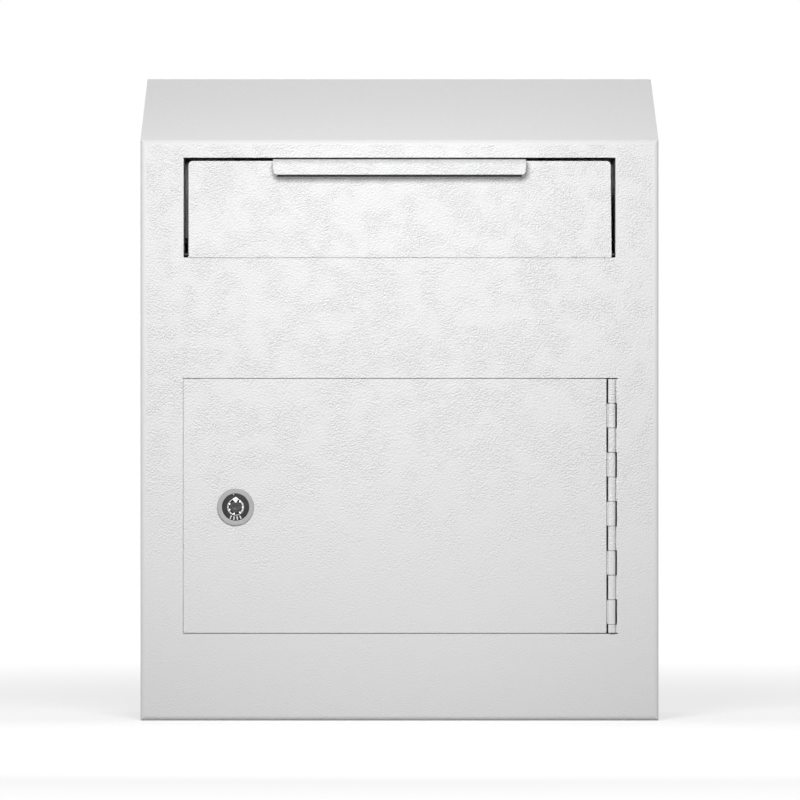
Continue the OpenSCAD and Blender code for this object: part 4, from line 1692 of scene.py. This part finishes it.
    def _key_pins(self) -> None:
        """The keyway's pins, the bright guide at twelve o'clock, partly a painted highlight, and a
        bright arc at three that is a painted highlight.
        """
        count = 7
        pin_r, dome, ring_r = self.pin_r, 0.2 * MM, self.pin_ring_r
        front, back = self.face_y + 0.12 * MM, self.pins_high.y
        profile = [(0.0, front - back), (pin_r * 0.5, front - back + dome * 0.25),
                   (pin_r * 0.85, front - back + dome * 0.6), (pin_r, front - back + dome),
                   (pin_r, 0.0), (0.0, 0.0)]
        shape = ring_shape(profile, (0.0, ring_r), 24)
        pins = piece_from("lock_pins", shape, self.finishes.bright)
        step = math.tau / count
        self.patterns.round.grow(pins, {
            "Count": count, "Centre": Vector((self.centre[0], back, self.centre[1])),
            "First": math.radians(self.pin_turn), "Turn": step,
            "Material": self.finishes.bright})
        place(pins, Body.CYLINDER, Slot.CHROME, "lock_key_pins")
        reach = self.flange_r - self.sleeve_t - 0.02 * MM
        # Painted highlights: the guide wedge fills out the notch's glint, and the arc from -58 to 52
        # degrees stands only for a glint on the keyway's wall.
        guide = arc(self.centre, reach, 72, 108, 8)
        guide += arc(self.centre, 2.75 * MM, 96, 84, 3)
        painted_glint_arc = arc(self.centre, reach, -58, 52, 16)
        painted_glint_arc += arc(self.centre, reach - 0.45 * MM, 52, -58, 16)
        rest = arc(self.centre, reach, 132, 246, 16)
        rest += arc(self.centre, reach - 0.25 * MM, 246, 132, 16)
        for name, outline, proud in (("lock_key_guide", guide, 0.03 * MM),
                                     ("lock_key_painted_glint_arc", painted_glint_arc, -0.12 * MM),
                                     ("lock_key_rest", rest, -0.12 * MM)):
            bar = piece_from(
                name, prism(outline, self.face_y - proud, back, "Y"), self.finishes.bright)
            bevel(bar, 0.1 * MM, 2)
            place(settle(bar, smooth=False), Body.CYLINDER, Slot.CHROME)

    def _washer(self) -> None:
        """The toothed washer: a ring with bent teeth round its edge."""
        low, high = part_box("lock_washer")
        outer = (high.x - low.x) / 2
        body_r, bore = outer - 1.6 * MM, self.barrel_r + 0.1 * MM
        profile = [(bore, low.y), (bore, high.y), (body_r, high.y), (body_r, low.y)]
        self._turned("lock_washer_ring", profile, self.finishes.steel, Body.DOOR, Slot.STEEL,
                     "lock_washer")
        half = outer * math.pi / self.tooth_count * 0.62
        thick, lift = (high.y - low.y) * 0.8, (high.y - low.y) * 0.2
        shape = bmesh.new()
        corners = []
        for reach, wide in ((body_r - 0.2 * MM, half), (outer - 0.05 * MM, half * 0.62)):
            bend = lift if reach > body_r else 0.0
            corners.append([shape.verts.new((s * wide, y, reach)) for s, y in (
                (-1, bend), (1, bend * 0.2), (1, bend * 0.2 + thick), (-1, bend + thick * 0.9))])
        near, far = corners
        for i in range(4):
            j = (i + 1) % 4
            shape.faces.new((near[i], near[j], far[j], far[i]))
        shape.faces.new(near)
        shape.faces.new(far)
        bmesh.ops.recalc_face_normals(shape, faces=shape.faces)
        teeth = piece_from("lock_washer_teeth", shape, self.finishes.steel)
        step = math.tau / self.tooth_count
        self.patterns.round.grow(teeth, {
            "Count": self.tooth_count, "Centre": Vector((self.centre[0], low.y, self.centre[1])),
            "First": 0.0, "Turn": step, "Material": self.finishes.steel})
        place(teeth, Body.DOOR, Slot.STEEL)

    def _nut(self) -> None:
        """The hexagon nut, with chamfered corners on both faces."""
        low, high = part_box("lock_nut")
        flat_r = (high.z - low.z) / 2
        corner_r = (high.x - low.x) / 2
        bore, chamfer = self.barrel_r + 0.05 * MM, 0.5 * MM
        crown = flat_r - 0.3 * MM

        def hexagon(radius: float, turn: float) -> float:
            """Holds a radius inside the hexagon, and keeps the bore and crown round."""
            if radius < crown + MERGE:
                return radius
            sector = math.pi / 3
            side = flat_r / math.cos((turn % sector) - sector / 2)
            return min(radius, side)

        rim = (corner_r - crown) * math.tan(math.radians(25))
        profile = [(bore, low.y + chamfer), (bore + chamfer, low.y), (crown, low.y),
                   (corner_r, low.y + rim), (corner_r, high.y - rim), (crown, high.y),
                   (bore + chamfer, high.y), (bore, high.y - chamfer)]
        self._turned("lock_nut_dressed", profile, self.finishes.steel, Body.DOOR, Slot.STEEL,
                     "lock_nut", stretch=hexagon)


# Studio


@dataclass
class Studio:
    """Floor, lights, world and camera, which aren't part of the box."""

    image_px: int = 800
    mm_per_px: float = 0.6175
    view_height: float = 198 * MM
    view_side: float = -7.7 * MM
    picture_side: float = 0.3 * MM
    distance: float = 5.02
    sensor: float = 36.0
    floor_half: float = 4.0
    key_power: float = 3.63
    key_place: tuple[float, float, float] = (-0.03, -0.70, 0.46)
    key_size: float = 0.2
    side_power: float = 4.4
    side_place: tuple[float, float, float] = (1.5, -0.22, 0.30)
    side_size: float = 0.7
    top_power: float = 5.8
    top_place: tuple[float, float, float] = (0.0, 0.35, 1.5)
    top_size: float = 0.7
    ambient: float = 0.15
    floor_tone: float = 0.45
    floor_lift_near: float = 0.62
    floor_lift_far: float = 0.93
    floor_near: float = 0.3
    floor_far: float = 1.4

    def build(self) -> None:
        """Builds everything round the box."""
        self._camera()
        self._world()
        self._floor()
        self._lamp("key", self.key_power, self.key_size, Vector(self.key_place))
        for name, side in (("side_left", -1), ("side_right", 1)):
            x, y, z = self.side_place
            self._lamp(name, self.side_power, self.side_size, Vector((side * x, y, z)))
        self._lamp("top", self.top_power, self.top_size, Vector(self.top_place))
        bpy.context.scene.view_settings.view_transform = "Standard"

    def _camera(self) -> None:
        """The camera at the photograph's place: level, and 5 m in front of the box."""
        front_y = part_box("body_shell")[0].y
        width = self.image_px * self.mm_per_px * MM
        data = bpy.data.cameras.new("camera")
        data.sensor_width = self.sensor
        data.lens = self.sensor * self.distance / width
        data.shift_x = (self.picture_side - self.view_side) / width
        data.clip_end = 40.0
        camera = bpy.data.objects.new("camera", data)
        camera.location = (self.view_side, front_y - self.distance, self.view_height)
        camera.rotation_euler = (math.pi / 2, 0.0, 0.0)
        bpy.context.scene.collection.objects.link(camera)
        bpy.context.scene.camera = camera

    def _seen(self, tree: Tree) -> Number:
        """1 where a camera, glossy or transmission ray looks, and 0 elsewhere."""
        path = tree.node("ShaderNodeLightPath").outputs
        camera = Number(tree, path["Is Camera Ray"])
        gloss = Number(tree, path["Is Glossy Ray"])
        through = Number(tree, path["Is Transmission Ray"])
        return camera.at_least(gloss).at_least(through)

    def _world(self) -> None:
        """A white world to look at that lights the box only softly."""
        world = bpy.data.worlds.new("studio")
        world.use_nodes = True
        bpy.context.scene.world = world
        tree = Tree(world.node_tree)
        tree.tree.nodes.clear()
        soft = tree.node(
            "ShaderNodeBackground", None, {"Color": grey(1.0), "Strength": self.ambient})
        white = tree.node("ShaderNodeBackground", None, {"Color": grey(1.0), "Strength": 1.0})
        mixed = tree.node(
            "ShaderNodeMixShader", None,
            {0: self._seen(tree), 1: soft.outputs[0], 2: white.outputs[0]})
        tree.node("ShaderNodeOutputWorld", None, {0: mixed.outputs[0]})

    def _floor(self) -> None:
        """A pale floor that looks white and still shows the box's shadow."""
        material = bpy.data.materials.new("floor")
        material.use_nodes = True
        tree = Tree(material.node_tree)
        tree.tree.nodes.clear()
        diffuse = tree.node("ShaderNodeBsdfDiffuse", None, {"Color": grey(self.floor_tone)})
        spot = tree.node("ShaderNodeTexCoord").outputs["Object"]
        away = tree.number("ShaderNodeVectorMath", {"operation": "LENGTH"}, {0: spot}, "Value")
        level = away.ramp(
            self.floor_near, self.floor_far, self.floor_lift_near, self.floor_lift_far)
        lift = tree.node(
            "ShaderNodeEmission", None,
            {"Color": grey(1.0), "Strength": self._seen(tree) * level})
        both = tree.node(
            "ShaderNodeAddShader", None, {0: diffuse.outputs[0], 1: lift.outputs[0]})
        tree.node("ShaderNodeOutputMaterial", None, {0: both.outputs[0]})
        shape = bmesh.new()
        bmesh.ops.create_grid(shape, x_segments=2, y_segments=2, size=self.floor_half)
        floor = piece_from("floor", shape, material)

    def _lamp(self, name: str, power: float, size: float, spot: Vector) -> None:
        """A soft square lamp that looks at the middle of the box.

        Args:
            name: the lamp's name.
            power: its power in watts.
            size: its side in metres.
            spot: where it hangs.
        """
        data = bpy.data.lights.new(name, "AREA")
        data.energy = power
        data.size = size
        lamp = bpy.data.objects.new(name, data)
        lamp.location = spot
        target = Vector((0.0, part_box("body_shell")[0].y, 0.22))
        lamp.rotation_euler = (target - spot).to_track_quat("-Z", "Y").to_euler()
        lamp.visible_camera = False
        bpy.context.scene.collection.objects.link(lamp)


def lock_axis() -> tuple[float, float, float]:
    """A point on the lock's axis."""
    low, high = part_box("lock_housing")
    return ((low.x + high.x) / 2, low.y, (low.z + high.z) / 2)


def main() -> None:
    """Builds the box's looks, then the studio round it."""
    logging.basicConfig(level=logging.INFO, format="%(name)s: %(message)s")
    shared = {"finishes": Finishes(lock_axis()), "patterns": Patterns()}
    for assembly in (Cabinet(**shared), Hopper(**shared), Hinge(**shared), Door(**shared),
                     CamLock(**shared)):
        assembly.build()
    Studio().build()


if __name__ == "__main__":
    main()
